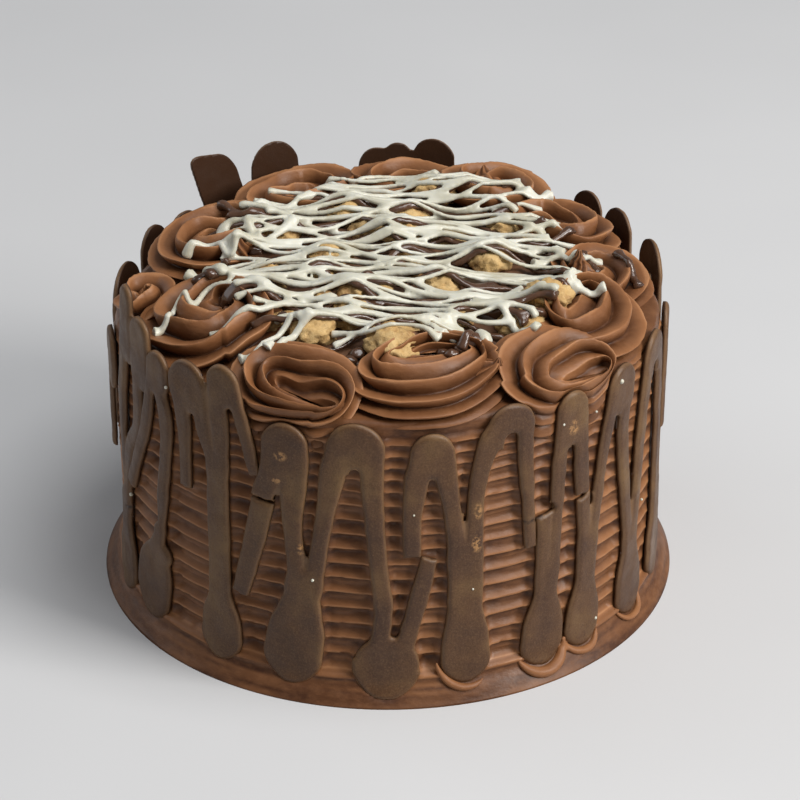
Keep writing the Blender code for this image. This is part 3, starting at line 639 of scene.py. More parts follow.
def comb_heights():
    """(height, pitch, depth) of each crest of the comb marks, from the skirt to the rim."""
    crests = []
    height = SKIRT_TOP + 1.0
    while height < CAKE_TOP - RIM_ROUNDING - 1.0:
        fine = float(smooth_step(FINE_COMB_START - 12, FINE_COMB_START + 12, height))
        pitch = COMB_PITCH + (FINE_COMB_PITCH - COMB_PITCH) * fine
        crests.append((height, pitch, COMB_DEPTH + (FINE_COMB_DEPTH - COMB_DEPTH) * fine))
        height += pitch
    return crests


def combed_rows(azimuth):
    """Radius and height of each row of the combed side, and how near it is to a crest."""
    crests = comb_heights()
    rows = [(index, part, height + part * pitch, depth)
            for index, (height, pitch, depth) in enumerate(crests) for part in COMB_ROWS
            if index < len(crests) - 1 or part <= HOLLOW_AT]
    index, part, level, depth = np.array(rows).T[:, :, None]
    single = ridge_shape(part, HOLLOW_AT, 1.7, 1.5)
    double = 0.62 * ridge_shape((2 * part) % 1.0, HOLLOW_AT, 1.7, 1.5) * (part > 0) + (part == 0)
    twice = smooth_step(0.05, 0.5, noise(7, azimuth / 9, index / 2.2))
    twice = np.maximum(twice, bell(azimuth - DOUBLED[0], DOUBLED[1]) * (level > DOUBLED[2]))
    ridge = single + (np.maximum(double, single) - single) * twice
    torn = smooth_step(0.45, 0.8, noise(8, azimuth / 2.2, index * 3.1 + part))
    ridge = ridge * (1 - 0.22 * torn)
    sway = 1.1 * noise(5, azimuth / 34, level / 40) + 0.22 * noise(6, azimuth / 5, index)
    droop = CREST_DROOP * depth / COMB_DEPTH * ridge**2 * (level > SKIRT_TOP + 3)
    height = level + sway * smooth_step(SKIRT_TOP, SKIRT_TOP + 8, level) - droop
    uneven = 1 + 0.22 * noise(9, azimuth / 6, level / 7)
    smeared = smooth_step(*SMEARED, level)
    hollow = depth * uneven * (1 - ridge) * (1 - 0.6 * smeared)
    streak = 0.7 * smeared * (noise(10, azimuth / 7, level / 1.7) - 0.4)
    bulge = 0.35 * noise(11, azimuth / 20, level / 25) - 0.35
    fine = 0.1 * noise(12, azimuth / 1.6, level / 1.1)
    return SIDE_RADIUS + bulge - hollow + streak + fine, height, ridge


def skirt_rows(azimuth):
    """Radius and height of the smoothed foot, up to the wavy lip, and how light it is: a painted highlight
    on the lip.
    """
    share = np.array(SKIRT_ROWS)[:, None]
    height = share * (SKIRT_TOP + 0.6 * noise(13, azimuth / 11, 0.3))
    radius = BASE_RADIUS + (SIDE_RADIUS - BASE_RADIUS) * share - 0.5 * np.sin(math.pi * share)
    bead = 1 + 0.5 * noise(14, azimuth / 6, 0)
    radius = radius + 1.2 * bell(share - 0.9, 0.09) * bead
    radius = radius + 0.28 * (share > 0) * noise(15, azimuth / 14, height / 1.6)
    stroke = 0.18 + 0.3 * noise(19, azimuth / 9, height / 0.9)
    # Random strokes, and a painted highlight along the lip.
    return np.minimum(radius, BASE_RADIUS), height, stroke + 0.5 * (share > 0.85)


def pushed_out(azimuth, height, radius, ridge):
    """Buttercream pressed flat under the lace and squeezed up beside it."""
    depth = any_lace_depth(azimuth, height)
    outside = np.maximum(-depth, 0.0)
    lumps = 0.5 + 0.5 * noise(16, azimuth / 0.9, height / 2.0)
    combed = height > SKIRT_TOP
    filled = bell(outside, 0.9) * combed * (height < CAKE_TOP - 6)
    radius = radius + filled * np.maximum(SIDE_RADIUS - 0.2 - radius, 0.0)
    beside = bell(outside - 0.7, 0.6) * (outside > 0.05)
    radius = radius + beside * (0.1 + 0.6 * ridge * lumps) * (height < CAKE_TOP - 4)
    return np.where(depth > 0.3, np.minimum(radius, lace_radius(height) + 0.8), radius)


def sloped(azimuth, height):
    """How far the side leans in under the rim, behind the lace that stands free of it."""
    total = np.zeros(np.shape(azimuth))
    for middle, spread, inwards in RIM_SLOPES:
        total = total + inwards * bell(azimuth - middle, spread)
    return total * smooth_step(CAKE_TOP - 13, CAKE_TOP, height)


def cake(surface):
    azimuth = np.arange(CAKE_COLUMNS) * 360 / CAKE_COLUMNS
    azimuth = (azimuth + 180) % 360 - 180
    radius, height, ridge = (
        np.concatenate(both) for both in zip(skirt_rows(azimuth), combed_rows(azimuth)))
    around = np.broadcast_to(azimuth, radius.shape)
    radius = pushed_out(around, height, radius, ridge) - sloped(around, height)
    rings = list(place(around, radius, height))
    for turn in RIM_ROWS:
        angle = math.radians(turn)
        level = CAKE_TOP - RIM_ROUNDING * (1 - math.sin(angle))
        rim = SIDE_RADIUS - RIM_SETBACK - RIM_ROUNDING * (1 - math.cos(angle)) - sloped(azimuth, level)
        rings.append(place(azimuth, rim + 0.5 * noise(17, azimuth / 5, turn / 40), level))
    for share in TOP_ROWS:
        rings.append(place(azimuth, share * SIDE_RADIUS, CAKE_TOP))
    rings.insert(0, place(azimuth, TOP_ROWS[-1] * BASE_RADIUS, 0.0))
    points = np.concatenate(rings)
    faces = grid_faces(len(rings), CAKE_COLUMNS, True)
    # The crest value sets how much painted shade the colour gets: dark in the comb's hollows, light on its
    # crests.
    crest = np.full((len(rings), CAKE_COLUMNS), PLAIN_CREST)
    crest[1:1 + len(ridge)] = ridge
    return mesh_object(
        "buttercream_cake", points, faces, surface, "buttercream", ("cake",), {"crest": crest})


# Rosettes

def rosette_curve(share):
    """Outward and upward shares along the rosette's section, and its outward normal."""
    profile = np.array(ROSETTE_PROFILE)
    fine = np.linspace(0.0, 1.0, 201)
    at = np.linspace(0.0, 1.0, len(profile))
    curve = []
    for values in profile.T:
        dense = np.pad(np.interp(fine, at, values), 9, mode="edge")
        curve.append(np.convolve(dense, np.ones(19) / 19, "valid"))
    out, up = (np.interp(share, fine, values) for values in curve)
    d_out, d_up = (np.interp(share, fine, np.gradient(values, fine)) for values in curve)
    length = np.maximum(np.hypot(d_out, d_up), 1e-6)
    return out, up, d_up / length, -d_out / length


def swirl(index, row):
    """The wound rope in the rosette's axes (right, outwards, up), crest values with painted shade at the
    foot, and faces.

    Each line of the grid runs along a crest or a groove, climbing row.climb ribs in one turn.
    """
    ribs = np.arange(-row.climb - 1, math.ceil(row.crests) + 2)
    turn, rib = np.meshgrid(
        np.arange(ROSETTE_COLUMNS) / ROSETTE_COLUMNS, (ribs[:, None] + np.array(RIB_ROWS)).ravel())
    angle = math.radians(row.end) + row.hand * math.tau * turn
    across, along = np.cos(angle), np.sin(angle)
    wobble = 0.28 * noise(21, 1.4 * across, 1.4 * along, 3 * index)
    share = clamped((rib + row.climb * turn - wobble) / row.crests) ** 1.1
    out, up, normal_out, normal_up = rosette_curve(share)
    pitch = (1.2 * row.wide + row.height) / row.crests
    crest = ridge_shape(rib % 1.0, RIB_HOLLOW, 1.15, 1.25)
    place_in = row.crests * share
    fade = clamped(7 * share + 0.1) * clamped(3.2 * (1 - share) + 0.1)
    uneven = 1 + 0.36 * noise(22, 1.5 * across, 1.5 * along, 0.8 * place_in + 5 * index)
    torn = 0.28 * crest**4 * noise(23, 13 * across, 13 * along, place_in + 9 * index)
    streak = 0.10 * noise(24, 8 * (rib % 1.0), 4 * across + place_in, 4 * along)
    full = (1 - RIB_BODY) * crest + RIB_BODY * (1 - (1 - crest) ** 2)
    relief = pitch * fade * uneven * (full - 0.65) + torn * fade + streak
    tuck = 1 - ROPE_STEP * turn * smooth_step(0.0, 0.04, turn) * (1 - share) ** 0.6
    reach = np.maximum(out * tuck + relief * normal_out / row.wide, 0.0)
    rise = row.height * up + relief * normal_up
    inwards = (1 - out) ** 0.9
    way = math.radians(row.slit_way)
    spread = row.slit * inwards * (across * math.cos(way) + along * math.sin(way))
    squash = 1 + 0.05 * noise(27, 1.2 * across, 1.2 * along, 7 * index)
    right = row.wide * reach * squash * across + row.eye_right * inwards + spread * math.cos(way)
    outwards = row.deep * reach * squash * along + row.eye_out * inwards + spread * math.sin(way)
    points = np.stack([right, outwards, rise], axis=-1)
    # Painted shade: the crest value that sets the colour is cut down over the lower ribs near the foot,
    # where the overhang above shades them.
    lit = crest * uneven * (0.3 + 0.7 * smooth_step(0.02, 0.42, share))
    return points, clamped(lit), wound_faces(share, row.climb * len(RIB_ROWS))


def wound_faces(share, climbed):
    """Quads of the wound grid: its last column meets the first as many lines up as it climbed."""
    rows, columns = share.shape
    number = np.arange(rows * columns).reshape(rows, columns)
    above = np.minimum(np.arange(rows) + climbed, rows - 1)
    after = np.concatenate([number[:, 1:], number[above, :1]], axis=1)
    faces = np.stack([side.ravel() for side in (number[:-1], after[:-1], after[1:], number[1:])], axis=1)
    reached = share.ravel()[faces]
    return faces[(reached.max(axis=1) > 0) & (reached.min(axis=1) < 1)]


def ridge_shape(part, hollow, above_power, below_power):
    """1 on the crest and 0 in the hollow, for the part of the pitch past the crest."""
    above = clamped(1 - part / hollow) ** above_power
    below = clamped((part - hollow) / (1 - hollow)) ** below_power
    return above + below


def star_rope(line, index):
    """A ribbed rope along (right, outwards, up, radius) points, and how near to a crest."""
    path = smooth_line(line, 14)
    middle, radius = path[:, :3], np.maximum(path[:, 3], 0.3)
    across, up = ways_across(middle, (0.05, -0.1, 1.0))
    around, far = np.meshgrid(np.arange(TAIL_SIDES) / TAIL_SIDES, np.linspace(0, 1, len(path)))
    rib = TAIL_RIBS * around + 0.25 * far + 0.05 * noise(25, far * 5, TAIL_RIBS * around, index)
    crest = np.abs(2 * (rib % 1.0) - 1) ** 1.5
    torn = 0.05 * crest**3 * noise(26, far * 22, np.floor(rib + 0.5), index)
    reach = ((1 - TAIL_RIB_DEPTH * (1 - crest) + torn) * radius[:, None])[..., None]
    angle = math.tau * around[..., None]
    rings = middle[:, None] + reach * (across[:, None] * np.cos(angle) + up[:, None] * np.sin(angle))
    ends = [np.repeat(middle[k:k + 1, None], TAIL_SIDES, axis=1) for k in (0, len(path) - 1)]
    return np.concatenate([ends[0], rings, ends[1]]), np.concatenate([crest[:1], crest, crest[-1:]])


def on_cake(points, row):
    """Points in a rosette's own axes, leant outwards, set on the cake and pressed behind the lace."""
    right, out, rise = points[..., 0], points[..., 1], points[..., 2]
    slant, at = math.radians(row.lean), math.radians(row.azimuth)
    out, rise = (out * math.cos(slant) + rise * math.sin(slant),
                 rise * math.cos(slant) - out * math.sin(slant))
    base = place(row.azimuth, row.ring, CAKE_TOP - 0.4 * row.deep * math.sin(slant))
    x = base[0] + right * math.cos(at) + out * math.sin(at)
    y = base[1] + right * math.sin(at) - out * math.cos(at)
    return held_by_lace(x, y, base[2] + rise)


def rosette(index, row, surface):
    points, crest, faces = swirl(index, row)
    parts, crests = [(points, faces)], [crest.ravel()]
    for which, line in ROPE_TAILS:
        if which == index:
            points, crest = star_rope(line, index)
            parts.append((points, grid_faces(*crest.shape, True)))
            crests.append(crest.ravel())
    placed = [(on_cake(points, row).reshape(-1, 3), faces if row.hand > 0 else faces[:, ::-1])
              for points, faces in parts]
    points, faces = joined(placed)
    used, faces = np.unique(faces, return_inverse=True)
    node = f"rosette_{index + 1:02d}"
    values = {"crest": np.concatenate(crests)[used]}
    return mesh_object(
        "piped_" + node, points[used], faces.reshape(-1, 4), surface, "buttercream", (node,), values)


def curls(surface):
    """Curled lips of buttercream that hug the lower edge of a bulb."""
    draw = random.Random(CHUNK_SEED + 2)
    parts = []
    for azimuth, height, bulb, start, stop, thick in CURLS:
        share = np.linspace(0.0, 1.0, 30)
        angle = np.radians(start + (stop - start) * share)
        away = bulb + 0.75 * thick + 0.3 * noise(28, share * 4, azimuth)
        level = height + away * np.sin(angle)
        skirt = BASE_RADIUS + (SIDE_RADIUS - BASE_RADIUS) * clamped(level / SKIRT_TOP)
        outwards = np.maximum(lace_radius(level) + 0.8, skirt)
        line = place(azimuth + flat_azimuth(away * np.cos(angle)), outwards, level)
        radii = thick * np.sqrt(np.sin(math.pi * np.clip(share, 0.02, 0.98))) * draw.uniform(0.9, 1.1)
        parts.append(tube(line, radii))
    obj = melted("squeezed_curls", parts, 0.5, surface)
    store(obj.data, "crest", np.full(len(obj.data.vertices), CURL_CREST))
    return obj


def flecks(surface):
    points, faces = ball(2)
    parts = []
    for azimuth, height, radius in FLECKS:
        middle = place(azimuth, lace_radius(height) + 0.92 * LACE_THICKNESS, height)
        parts.append((radius * points + middle, faces))
    return mesh_object("bright_flecks", *joined(parts), surface, "cookie_and_drizzle")


def held_by_lace(x, y, z):
    """Soft buttercream spreads no further out than the lace, and a little over a bare rim."""
    away = np.hypot(x, y)
    azimuth = np.degrees(np.arctan2(x, -y))
    near = away > LACE_INSIDE - 6
    room = np.full(x.shape, LACE_INSIDE + BARE_ROOM)
    behind = smooth_step(-2.5, 0.5, any_lace_depth(azimuth[near], z[near]))
    room[near] -= (BARE_ROOM + LACE_ROOM) * behind
    soft = SPREAD_SOFTNESS
    past = np.maximum(away - room + soft, 0.0)
    squeezed = np.minimum(away, room - soft) + soft * (1 - np.exp(-past / soft)) * (past > 0)
    return np.stack([x * squeezed / away, y * squeezed / away, z], axis=-1)


# Heap

def glaze_height(x, y):
    away = np.hypot(x, y) / HEAP_REACH
    rough = 1.3 * noise(31, x / 9, y / 9) + 0.6 * noise(32, x / 4, y / 4)
    return GLAZE_MIDDLE + (GLAZE_EDGE - GLAZE_MIDDLE) * away**4 + rough


def glaze(surface):
    azimuth = np.arange(150) * 2.4
    rings = [place(azimuth, HEAP_REACH - 1, CAKE_TOP)]
    for share in np.linspace(1.0, 0.01, 46):
        ring = place(azimuth, share * HEAP_REACH, 0.0)
        ring[:, 2] = glaze_height(ring[:, 0], ring[:, 1])
        rings.append(ring)
    faces = grid_faces(len(rings), len(azimuth), True)
    points = np.concatenate(rings)
    return mesh_object("heap_glaze", points, faces, surface, "cookie_and_drizzle", ("topping",))


def ball(subdivisions):
    """Points and triangles of a round ball of radius 1."""
    bm = bmesh.new()
    bmesh.ops.create_icosphere(bm, subdivisions=subdivisions, radius=1.0)
    bm.verts.ensure_lookup_table()
    points = np.array([vert.co[:] for vert in bm.verts])
    faces = np.array([[vert.index for vert in face.verts] for face in bm.faces])
    bm.free()
    return points, faces


def crag(points, seed, rough):
    """A ball pushed into a rough lump with cracks and crumbs."""
    x, y, z = points.T
    reach = 1 + 0.20 * noise(seed, 1.5 * x, 1.5 * y, 1.5 * z)
    reach += rough * 0.16 * noise(seed + 1, 3.4 * x, 3.4 * y, 3.4 * z)
    reach += rough * 0.07 * noise(seed + 2, 8 * x, 8 * y, 8 * z)
    split = np.abs(noise(seed + 3, 2.1 * x, 2.1 * y, 2.1 * z))
    reach -= rough * 0.16 * bell(split, 0.07)
    return points * reach[:, None]


def turned(points, draw):
    """Points turned at random about the upright and a little about a level axis."""
    a, b = draw.uniform(0, math.tau), draw.uniform(-0.5, 0.5)
    flat = np.array([[math.cos(a), -math.sin(a), 0], [math.sin(a), math.cos(a), 0], [0, 0, 1]])
    tipped = np.array([[1, 0, 0], [0, math.cos(b), -math.sin(b)], [0, math.sin(b), math.cos(b)]])
    return points @ flat.T @ tipped.T


def joined(parts):
    """One list of points and one of faces from several (points, faces)."""
    points, faces, count = [], [], 0
    for some, shape in parts:
        points.append(some)
        faces.append(shape + count)
        count += len(some)
    return np.concatenate(points), np.concatenate(faces)


def chunk_places(draw):
    placed = list(SHOWN_CHUNKS)
    while len(placed) < CHUNK_COUNT:
        radius = draw.uniform(5.5, 9.0)
        azimuth, away = draw.uniform(0, 360), HEAP_REACH * 0.86 * math.sqrt(draw.random())
        x, y, _ = place(azimuth, away, 0.0)
        if all(math.hypot(x - a, y - b) > 0.8 * (radius + c) for a, b, c, _ in placed):
            placed.append((x, y, radius, 0.1 * radius))
    return placed


def cookie_chunks(surface):
    draw = random.Random(CHUNK_SEED)
    points, faces = ball(4)
    parts = []
    for x, y, radius, lift in chunk_places(draw):
        lump = turned(crag(points, draw.randrange(10**6), 1.0), draw)
        lump = lump * (radius * draw.uniform(0.9, 1.1), radius * draw.uniform(0.8, 1.0), radius * 0.62)
        level = glaze_height(np.array(x), np.array(y)) + lift
        parts.append((lump + (x, y, float(level)), faces))
    return mesh_object("cookie_chunks", *joined(parts), surface, "cookie_and_drizzle")


def surface_tree(objects):
    """What lies on top of the heap so far, for dropping things on to."""
    points, faces, count = [], [], 0
    for obj in objects:
        points += [vert.co / MM for vert in obj.data.vertices]
        faces += [[i + count for i in polygon.vertices] for polygon in obj.data.polygons]
        count = len(points)
    return BVHTree.FromPolygons(points, faces)


def top_at(tree, x, y):
    hit = tree.ray_cast(Vector((x, y, DROP_FROM)), Vector((0, 0, -1)))[0]
    return hit.z if hit else CAKE_TOP


def chips(tree, surface):
    """Small dark chocolate pieces, some of them at the heap's edge."""
    draw = random.Random(CHUNK_SEED + 1)
    points, faces = ball(3)
    parts = []
    places = list(SHOWN_CHIPS)
    while len(places) < CHIP_COUNT:
        x, y, _ = place(draw.uniform(0, 360), HEAP_REACH * draw.uniform(0.3, 0.92), 0.0)
        places.append((x, y, draw.uniform(1.6, 3.2)))
    for x, y, size in places:
        lump = turned(crag(points, draw.randrange(10**6), 0.5), draw) * (size, 0.8 * size, 0.75 * size)
        parts.append((lump + (x, y, top_at(tree, x, y) + 0.2 * size), faces))
    return mesh_object("chocolate_chips", *joined(parts), surface, "cookie_and_drizzle")


def draped(flat, tree, radius, sag):
    """A strand laid on what is under it: (x, y) points get the height of a slack thread."""
    levels = np.array([top_at(tree, x, y) for x, y in flat]) + 0.55 * radius
    held = levels.copy()
    for _ in range(sag):
        ends = np.concatenate([held[:1], (held[:-2] + held[2:]) / 2, held[-1:]])
        held = np.maximum(levels, ends)
    return np.column_stack([flat, held])


def tube(points, radii, sides=8):
    """A round strand along points, with closed blunt ends."""
    points = np.asarray(points)
    across, up = ways_across(points, (0.0, 0.0, 1.0))
    angle = np.arange(sides) * math.tau / sides
    rings = points[:, None] + np.asarray(radii)[:, None, None] * (
        across[:, None] * np.cos(angle)[:, None] + 0.85 * up[:, None] * np.sin(angle)[:, None])
    count = len(points)
    faces = grid_faces(count, sides, True).tolist()
    rings = np.concatenate([rings.reshape(-1, 3), points[:1], points[-1:]])
    first, last = count * sides, count * sides + 1
    for i in range(sides):
        j = (i + 1) % sides
        faces.append([j, i, first, first])
        faces.append([first - sides + i, first - sides + j, last, last])
    return rings, np.array(faces)


def strand_line(draw, start, slant, wave, reach_left, reach_right):
    """(x, y) points of one pass of the drizzle from left to right."""
    x = np.arange(-reach_left, reach_right, STRAND_STEP)
    phase, length = draw.uniform(0, math.tau), draw.uniform(26, 44)
    y = start + slant * x + wave * np.sin(x / length * math.tau + phase)
    y = y + 0.6 * np.sin(x / 9 + 2 * phase)
    return np.column_stack([x, y])


def melted(name, parts, voxel, surface):
    """Strands run together where they touch: joined, remeshed and softened."""
    points, faces = joined(parts)
    mesh = bpy.data.meshes.new(name)
    triangles = [list(dict.fromkeys(face)) for face in faces.tolist()]
    mesh.from_pydata((points * MM).tolist(), [], triangles)
    obj = shown(name + "_raw", mesh)
    remesh = obj.modifiers.new("remesh", "REMESH")
    remesh.mode = "VOXEL"
    remesh.voxel_size = voxel * MM
    soften = obj.modifiers.new("soften", "SMOOTH")
    soften.iterations = 3
    soften.factor = 0.5
    bpy.context.view_layer.update()
    graph = bpy.context.evaluated_depsgraph_get()
    made = bpy.data.meshes.new_from_object(obj.evaluated_get(graph))
    bpy.data.objects.remove(obj)
    made.name = name
    made.materials.clear()
    return finished(name, made, surface, ())


def uneven_radii(count, radius, draw, blob):
    """Radii along a strand, with a blob where the drizzle stopped and turned."""
    at = np.arange(count)
    radii = radius * (1 + 0.22 * noise(41, at / 5, draw.uniform(0, 99)))
    for end in (at, count - 1 - at):
        radii = radii + blob * bell(end, 2.2)
    return radii


def loose_ends(tails, tree, draw, radii, blob, lift, sag):
    """Strands along tails, each with a radius between the two radii."""
    lines = [smooth_line(tail, 6) for tail in tails]
    return [tube(draped(line, tree, lift, sag), uneven_radii(len(line), draw.uniform(*radii), draw, blob))
            for line in lines]


def dark_drizzle(tree, surface):
    draw = random.Random(WHITE_SEED + 1)
    parts = []
    for index in range(DARK_STRANDS):
        start = -54 + 108 * index / (DARK_STRANDS - 1)
        half = math.sqrt(max(HEAP_REACH**2 - start**2, 400)) + draw.uniform(-6, 3)
        flat = strand_line(draw, start, draw.uniform(-0.3, 0.3), 3.0, half, half)
        radii = uneven_radii(len(flat), draw.uniform(1.3, 2.0), draw, 0.8)
        parts.append(tube(draped(flat, tree, 1.6, 12), radii))
    parts += loose_ends(DARK_TAILS, tree, draw, (1.5, 1.9), 0.9, 1.6, 2)
    return melted("dark_drizzle", parts, 1.0, surface)


def white_drizzle(tree, surface):
    """A net of strands that slant both ways, with loose ends over the swirls."""
    draw = random.Random(WHITE_SEED)
    parts = []
    for index, lean in itertools.product(range(WHITE_STRANDS), (-1, 1)):
        along = 2 * (index + 0.25 * (1 + lean)) / (WHITE_STRANDS - 0.5) - 1
        start = NET_MIDDLE[1] + 0.96 * NET_REACH * along + draw.uniform(-1.5, 1.5)
        half = math.sqrt(max(NET_REACH**2 - (start - NET_MIDDLE[1])**2, 600)) - 3
        slant = lean * draw.uniform(*WHITE_SLANT)
        left = half + draw.uniform(-5, 2) - NET_MIDDLE[0]
        right = half + draw.uniform(-5, 4) + NET_MIDDLE[0]
        flat = strand_line(draw, start, slant, draw.uniform(0.5, 1.6), left, right)
        flat = flat[np.hypot(flat[:, 0] - NET_MIDDLE[0], flat[:, 1] - NET_MIDDLE[1]) < NET_REACH + 3]
        radii = uneven_radii(len(flat), draw.uniform(0.85, 1.35), draw, 0.7)
        parts.append(tube(draped(flat, tree, 1.1, 30), radii))
    parts += loose_ends(WHITE_TAILS, tree, draw, (1.3, 1.6), 1.3, 1.3, 4)
    return melted("white_drizzle", parts, 0.68, surface)


# Materials

class Recipe:
    """A material in the making, with short ways to add and link its nodes."""

    def __init__(self, name):
        self.material = bpy.data.materials.new(name)
        self.material.use_nodes = True
        self.tree = self.material.node_tree

    def put(self, socket, value):
        """Links a socket where the value comes from another node, and sets it otherwise."""
        if isinstance(value, bpy.types.NodeSocket):
            self.tree.links.new(value, socket)
        else:
            socket.default_value = value

    def add(self, kind, **values):
        node = self.tree.nodes.new("ShaderNode" + kind)
        for key, value in values.items():
            self.put(node.inputs[key], value)
        return node

    def noise(self, scale, detail=4.0, rough=0.55, stretch=(1, 1, 1)):
        where = self.add("TexCoord").outputs["Object"]
        where = self.add("Mapping", Vector=where, Scale=stretch).outputs["Vector"]
        return self.add("TexNoise", Vector=where, Scale=scale, Detail=detail, Roughness=rough).outputs["Fac"]

    def attribute(self, key):
        node = self.add("Attribute")
        node.attribute_name = key
        return node.outputs["Fac"]

    def ramp(self, source, *stops):
        """The source turned into colours or grey values, from (position, value) stops."""
        node = self.add("ValToRGB", Fac=source)
        elements = node.color_ramp.elements
        while len(elements) < len(stops):
            elements.new(0.5)
        for element, (position, value) in zip(elements, stops):
            element.position = position
            element.color = (*value, 1.0) if isinstance(value, tuple) else (value, value, value, 1.0)
        return node.outputs["Color"]

    def mix(self, factor, first, second):
        node = self.add("Mix")
        node.data_type = "RGBA"
        for index, value in ((0, factor), (6, first), (7, second)):
            self.put(node.inputs[index], (*value, 1.0) if isinstance(value, tuple) else value)
        return node.outputs[2]

    def tinted(self, colour, tint, source, *stops):
        """The colour with a tint over it, as strong as the ramp of the source says."""
        return self.mix(self.ramp(source, *stops), colour, tint)

    def bump(self, source, strength, distance, below=None):
        node = self.add("Bump", Height=source, Strength=strength, Distance=distance * MM)
        if below is not None:
            self.put(node.inputs["Normal"], below)
        return node.outputs["Normal"]

    def finish(self, **sockets):
        """Fills the shader's sockets, named in words joined by _, and gives the material."""
        for shader_input in self.tree.nodes["Principled BSDF"].inputs:
            key = shader_input.name.replace(" ", "_")
            if key in sockets:
                self.put(shader_input, sockets[key])
        return self.material


def buttercream_material():
    made = Recipe("chocolate_buttercream")
    broad = made.noise(38, 3)
    # Painted shade and light: hollow is the colour painted into the hollows, lit the colour of the crests
    # where the light falls.
    hollow = made.ramp(broad, (0.34, (0.052, 0.017, 0.006)), (0.70, (0.078, 0.028, 0.010)))
    lit = made.ramp(broad, (0.34, (0.228, 0.092, 0.034)), (0.70, (0.325, 0.142, 0.056)))
    crest = made.attribute("crest")
    # The crest value picks between them, so grooves and anything with a low crest value get painted shade.
    colour = made.tinted(hollow, lit, crest, (0.0, 0.0), (0.30, 0.38), (0.62, 0.74), (1.0, 1.0))
    # A painted highlight along the sharpest crests.
    colour = made.tinted(colour, (0.40, 0.19, 0.085), crest, (0.80, 0.0), (1.0, 0.75))
    streaks = made.noise(260, 5, 0.6, (1, 1, 2.4))
    colour = made.tinted(colour, (0.33, 0.15, 0.065), streaks, (0.42, 0.0), (0.75, 0.25))
    rough = made.ramp(made.noise(150, 4), (0.3, 0.38), (0.7, 0.52))
    normal = made.bump(streaks, 0.30, 0.6, made.bump(made.noise(900, 4, 0.6), 0.25, 0.25))
    return made.finish(Base_Color=colour, Roughness=rough, Normal=normal, Specular_IOR_Level=0.28)


def lace_material():
    made = Recipe("bloomed_chocolate")
    shades = (0.35, (0.062, 0.028, 0.014)), (0.52, (0.092, 0.043, 0.018)), (0.70, (0.150, 0.080, 0.030))
    colour = made.ramp(made.noise(42), *shades)
    speckle = made.noise(1500, 3, 0.75)
    colour = made.tinted(colour, (0.030, 0.013, 0.007), speckle, (0.28, 0.55), (0.46, 0.0))
    colour = made.tinted(colour, (0.200, 0.118, 0.056), speckle, (0.50, 0.0), (0.74, 0.45))
    # A painted highlight along the lace's edge.
    colour = made.tinted(colour, (0.24, 0.135, 0.065), made.attribute("rim"), (0.35, 0.0), (1.0, 0.50))
    spread = made.ramp(made.attribute("smudge"), (0.3, 0.0), (0.7, 1.0))
    smudge = made.tinted((0.0, 0.0, 0.0), spread, made.noise(700, 3, 0.6), (0.44, 0.0), (0.56, 1.0))
    colour = made.mix(smudge, colour, (0.36, 0.19, 0.075))
    # Painted shade: the cracks darkened nearly to black, on top of the shallow grooves cut for them.
    colour = made.mix(made.attribute("crack"), colour, (0.018, 0.010, 0.007))
    # Painted shade: the lace's inner face darkened.
    colour = made.mix(made.attribute("inside"), colour, (0.050, 0.023, 0.012))
    rough = made.ramp(made.noise(120, 5), (0.3, 0.33), (0.7, 0.54))
    normal = made.bump(made.noise(210, 3), 0.25, 0.5, made.bump(speckle, 0.35, 0.25))
    return made.finish(Base_Color=colour, Roughness=rough, Normal=normal, Specular_IOR_Level=0.32)


def cookie_material():
    made = Recipe("cookie_crumb")
    shades = (0.32, (0.31, 0.155, 0.050)), (0.47, (0.51, 0.320, 0.120)), (0.66, (0.62, 0.43, 0.19))
    crumbs = made.noise(900, 4, 0.7)
    colour = made.ramp(made.noise(150, 5, 0.6), *shades)
    colour = made.tinted(colour, (0.62, 0.44, 0.22), crumbs, (0.46, 0.0), (0.70, 0.5))
    normal = made.bump(made.noise(330, 4, 0.65), 0.6, 1.0, made.bump(crumbs, 0.7, 0.5))
    return made.finish(Base_Color=colour, Roughness=0.75, Normal=normal)


def glaze_material():
    made = Recipe("soft_glaze")
    shades = (0.35, (0.095, 0.044, 0.024)), (0.55, (0.17, 0.085, 0.047)), (0.72, (0.25, 0.13, 0.075))
    colour = made.ramp(made.noise(90), *shades)
    return made.finish(Base_Color=colour, Roughness=0.38, Normal=made.bump(made.noise(240), 0.5, 1.0))


def dark_material():
    made = Recipe("dark_chocolate")
    colour = made.ramp(made.noise(160), (0.35, (0.056, 0.025, 0.013)), (0.7, (0.110, 0.052, 0.028)))
    normal = made.bump(made.noise(400, 3), 0.3, 0.4)
    return made.finish(Base_Color=colour, Roughness=0.24, Normal=normal, Specular_IOR_Level=0.6)


def white_material():
    made = Recipe("white_chocolate")
    shades = (0.35, (0.50, 0.475, 0.37)), (0.55, (0.61, 0.595, 0.50)), (0.75, (0.68, 0.67, 0.59))
    return made.finish(
        Base_Color=made.ramp(made.noise(70), *shades), Roughness=0.36,
        Normal=made.bump(made.noise(500, 3), 0.15, 0.3), Subsurface_Weight=0.15,
        Subsurface_Radius=(1.0, 0.8, 0.5), Subsurface_Scale=1.2 * MM)


def floor_material():
    made = Recipe("pale_paper")
    colour = made.ramp(made.noise(3, 3), (0.3, (0.57, 0.57, 0.575)), (0.7, (0.61, 0.61, 0.615)))
    return made.finish(Base_Color=colour, Roughness=0.9, Normal=made.bump(made.noise(400, 3), 0.05, 0.3))


# Studio

LENS = 135
SENSOR = 36
CAMERA_AT = (0.0045, -0.9674, 0.6006)
CAMERA_TILT = 61
SKY = (0.95, 0.97, 1.0, 1.0)
SKY_STRENGTH = 0.215
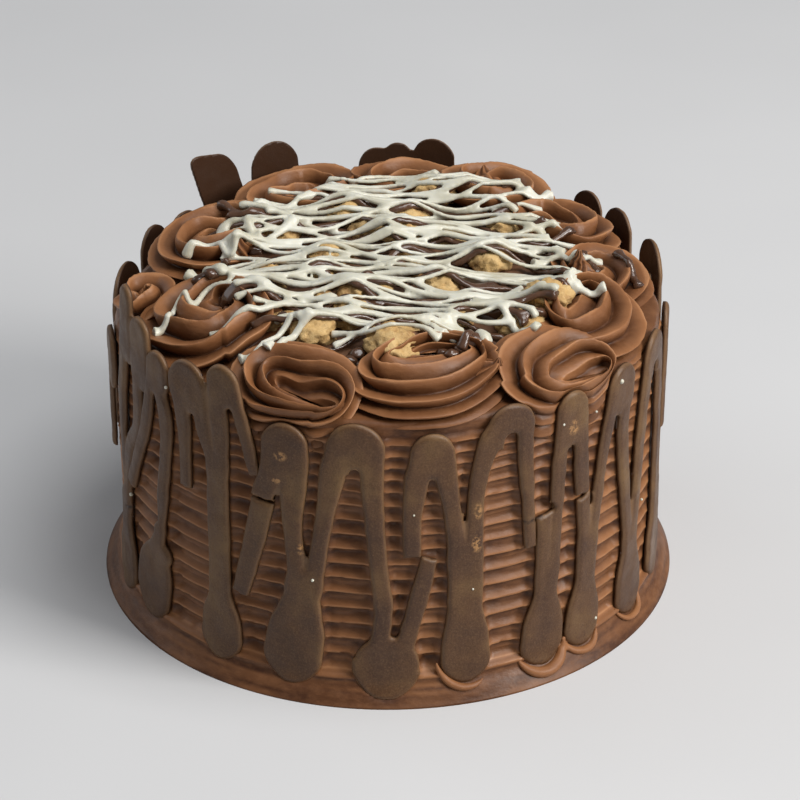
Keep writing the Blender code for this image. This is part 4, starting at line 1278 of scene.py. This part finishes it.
# Name, azimuth, elevation, distance and side in metres, power, colour.
LIGHTS = (
    ("top", 62, 70, 2.2, 1.1, 26, (1.0, 1.0, 1.0)),
    ("key", 64, 32, 2.0, 0.8, 34, (1.0, 0.98, 0.95)),
    ("fill", -112, 28, 2.2, 1.5, 9, (0.90, 0.95, 1.0)),
)
AIM_HEIGHT = 0.06
FLOOR_HALF = 4.0


def camera():
    data = bpy.data.cameras.new("camera")
    data.lens = LENS
    data.sensor_width = SENSOR
    data.clip_end = 20
    obj = shown("camera", data)
    obj.location = CAMERA_AT
    obj.rotation_euler = (math.radians(CAMERA_TILT), 0, 0)
    bpy.context.scene.camera = obj


def area_light(name, azimuth, elevation, distance, size, power, colour):
    """A soft square light that shines at the middle of the cake."""
    data = bpy.data.lights.new(name, "AREA")
    data.size = size
    data.energy = power
    data.color = colour
    obj = shown(name, data)
    rise = math.radians(elevation)
    spot = Vector(place(azimuth, distance * math.cos(rise), distance * math.sin(rise)))
    obj.location = spot + Vector((0, 0, AIM_HEIGHT))
    obj.rotation_euler = spot.to_track_quat("Z", "Y").to_euler()


def studio():
    camera()
    bpy.context.scene.view_settings.view_transform = "Standard"
    world = bpy.data.worlds.new("studio")
    world.use_nodes = True
    sky = world.node_tree.nodes["Background"].inputs
    sky["Color"].default_value = SKY
    sky["Strength"].default_value = SKY_STRENGTH
    bpy.context.scene.world = world
    for light in LIGHTS:
        area_light(*light)
    mesh = bpy.data.meshes.new("floor")
    corners = [(x * FLOOR_HALF, y * FLOOR_HALF, 0) for x, y in ((-1, -1), (1, -1), (1, 1), (-1, 1))]
    mesh.from_pydata(corners, [], [(0, 1, 2, 3)])
    mesh.materials.append(floor_material())
    floor = shown("floor", mesh)


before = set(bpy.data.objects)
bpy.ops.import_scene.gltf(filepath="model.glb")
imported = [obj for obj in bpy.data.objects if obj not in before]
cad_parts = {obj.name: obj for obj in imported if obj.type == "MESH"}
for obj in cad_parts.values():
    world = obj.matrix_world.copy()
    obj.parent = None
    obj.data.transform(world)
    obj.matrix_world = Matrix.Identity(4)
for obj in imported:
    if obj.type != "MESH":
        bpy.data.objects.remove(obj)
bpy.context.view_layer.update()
studio()
cream = buttercream_material()
cake(cream)
swirls = [rosette(index, row, cream) for index, row in enumerate(ROSETTES)]
curls(cream)
chocolate = lace_material()
for seed, (node, chain) in enumerate(LACE.items()):
    lace_panel(node, chain, chocolate, 50 + seed)
heap = [glaze(glaze_material()), cookie_chunks(cookie_material())]
tree = surface_tree(swirls + heap)
dark = dark_material()
heap.append(dark_drizzle(tree, dark))
heap.append(chips(tree, dark))
white = white_material()
white_drizzle(surface_tree(swirls + heap), white)
flecks(white)
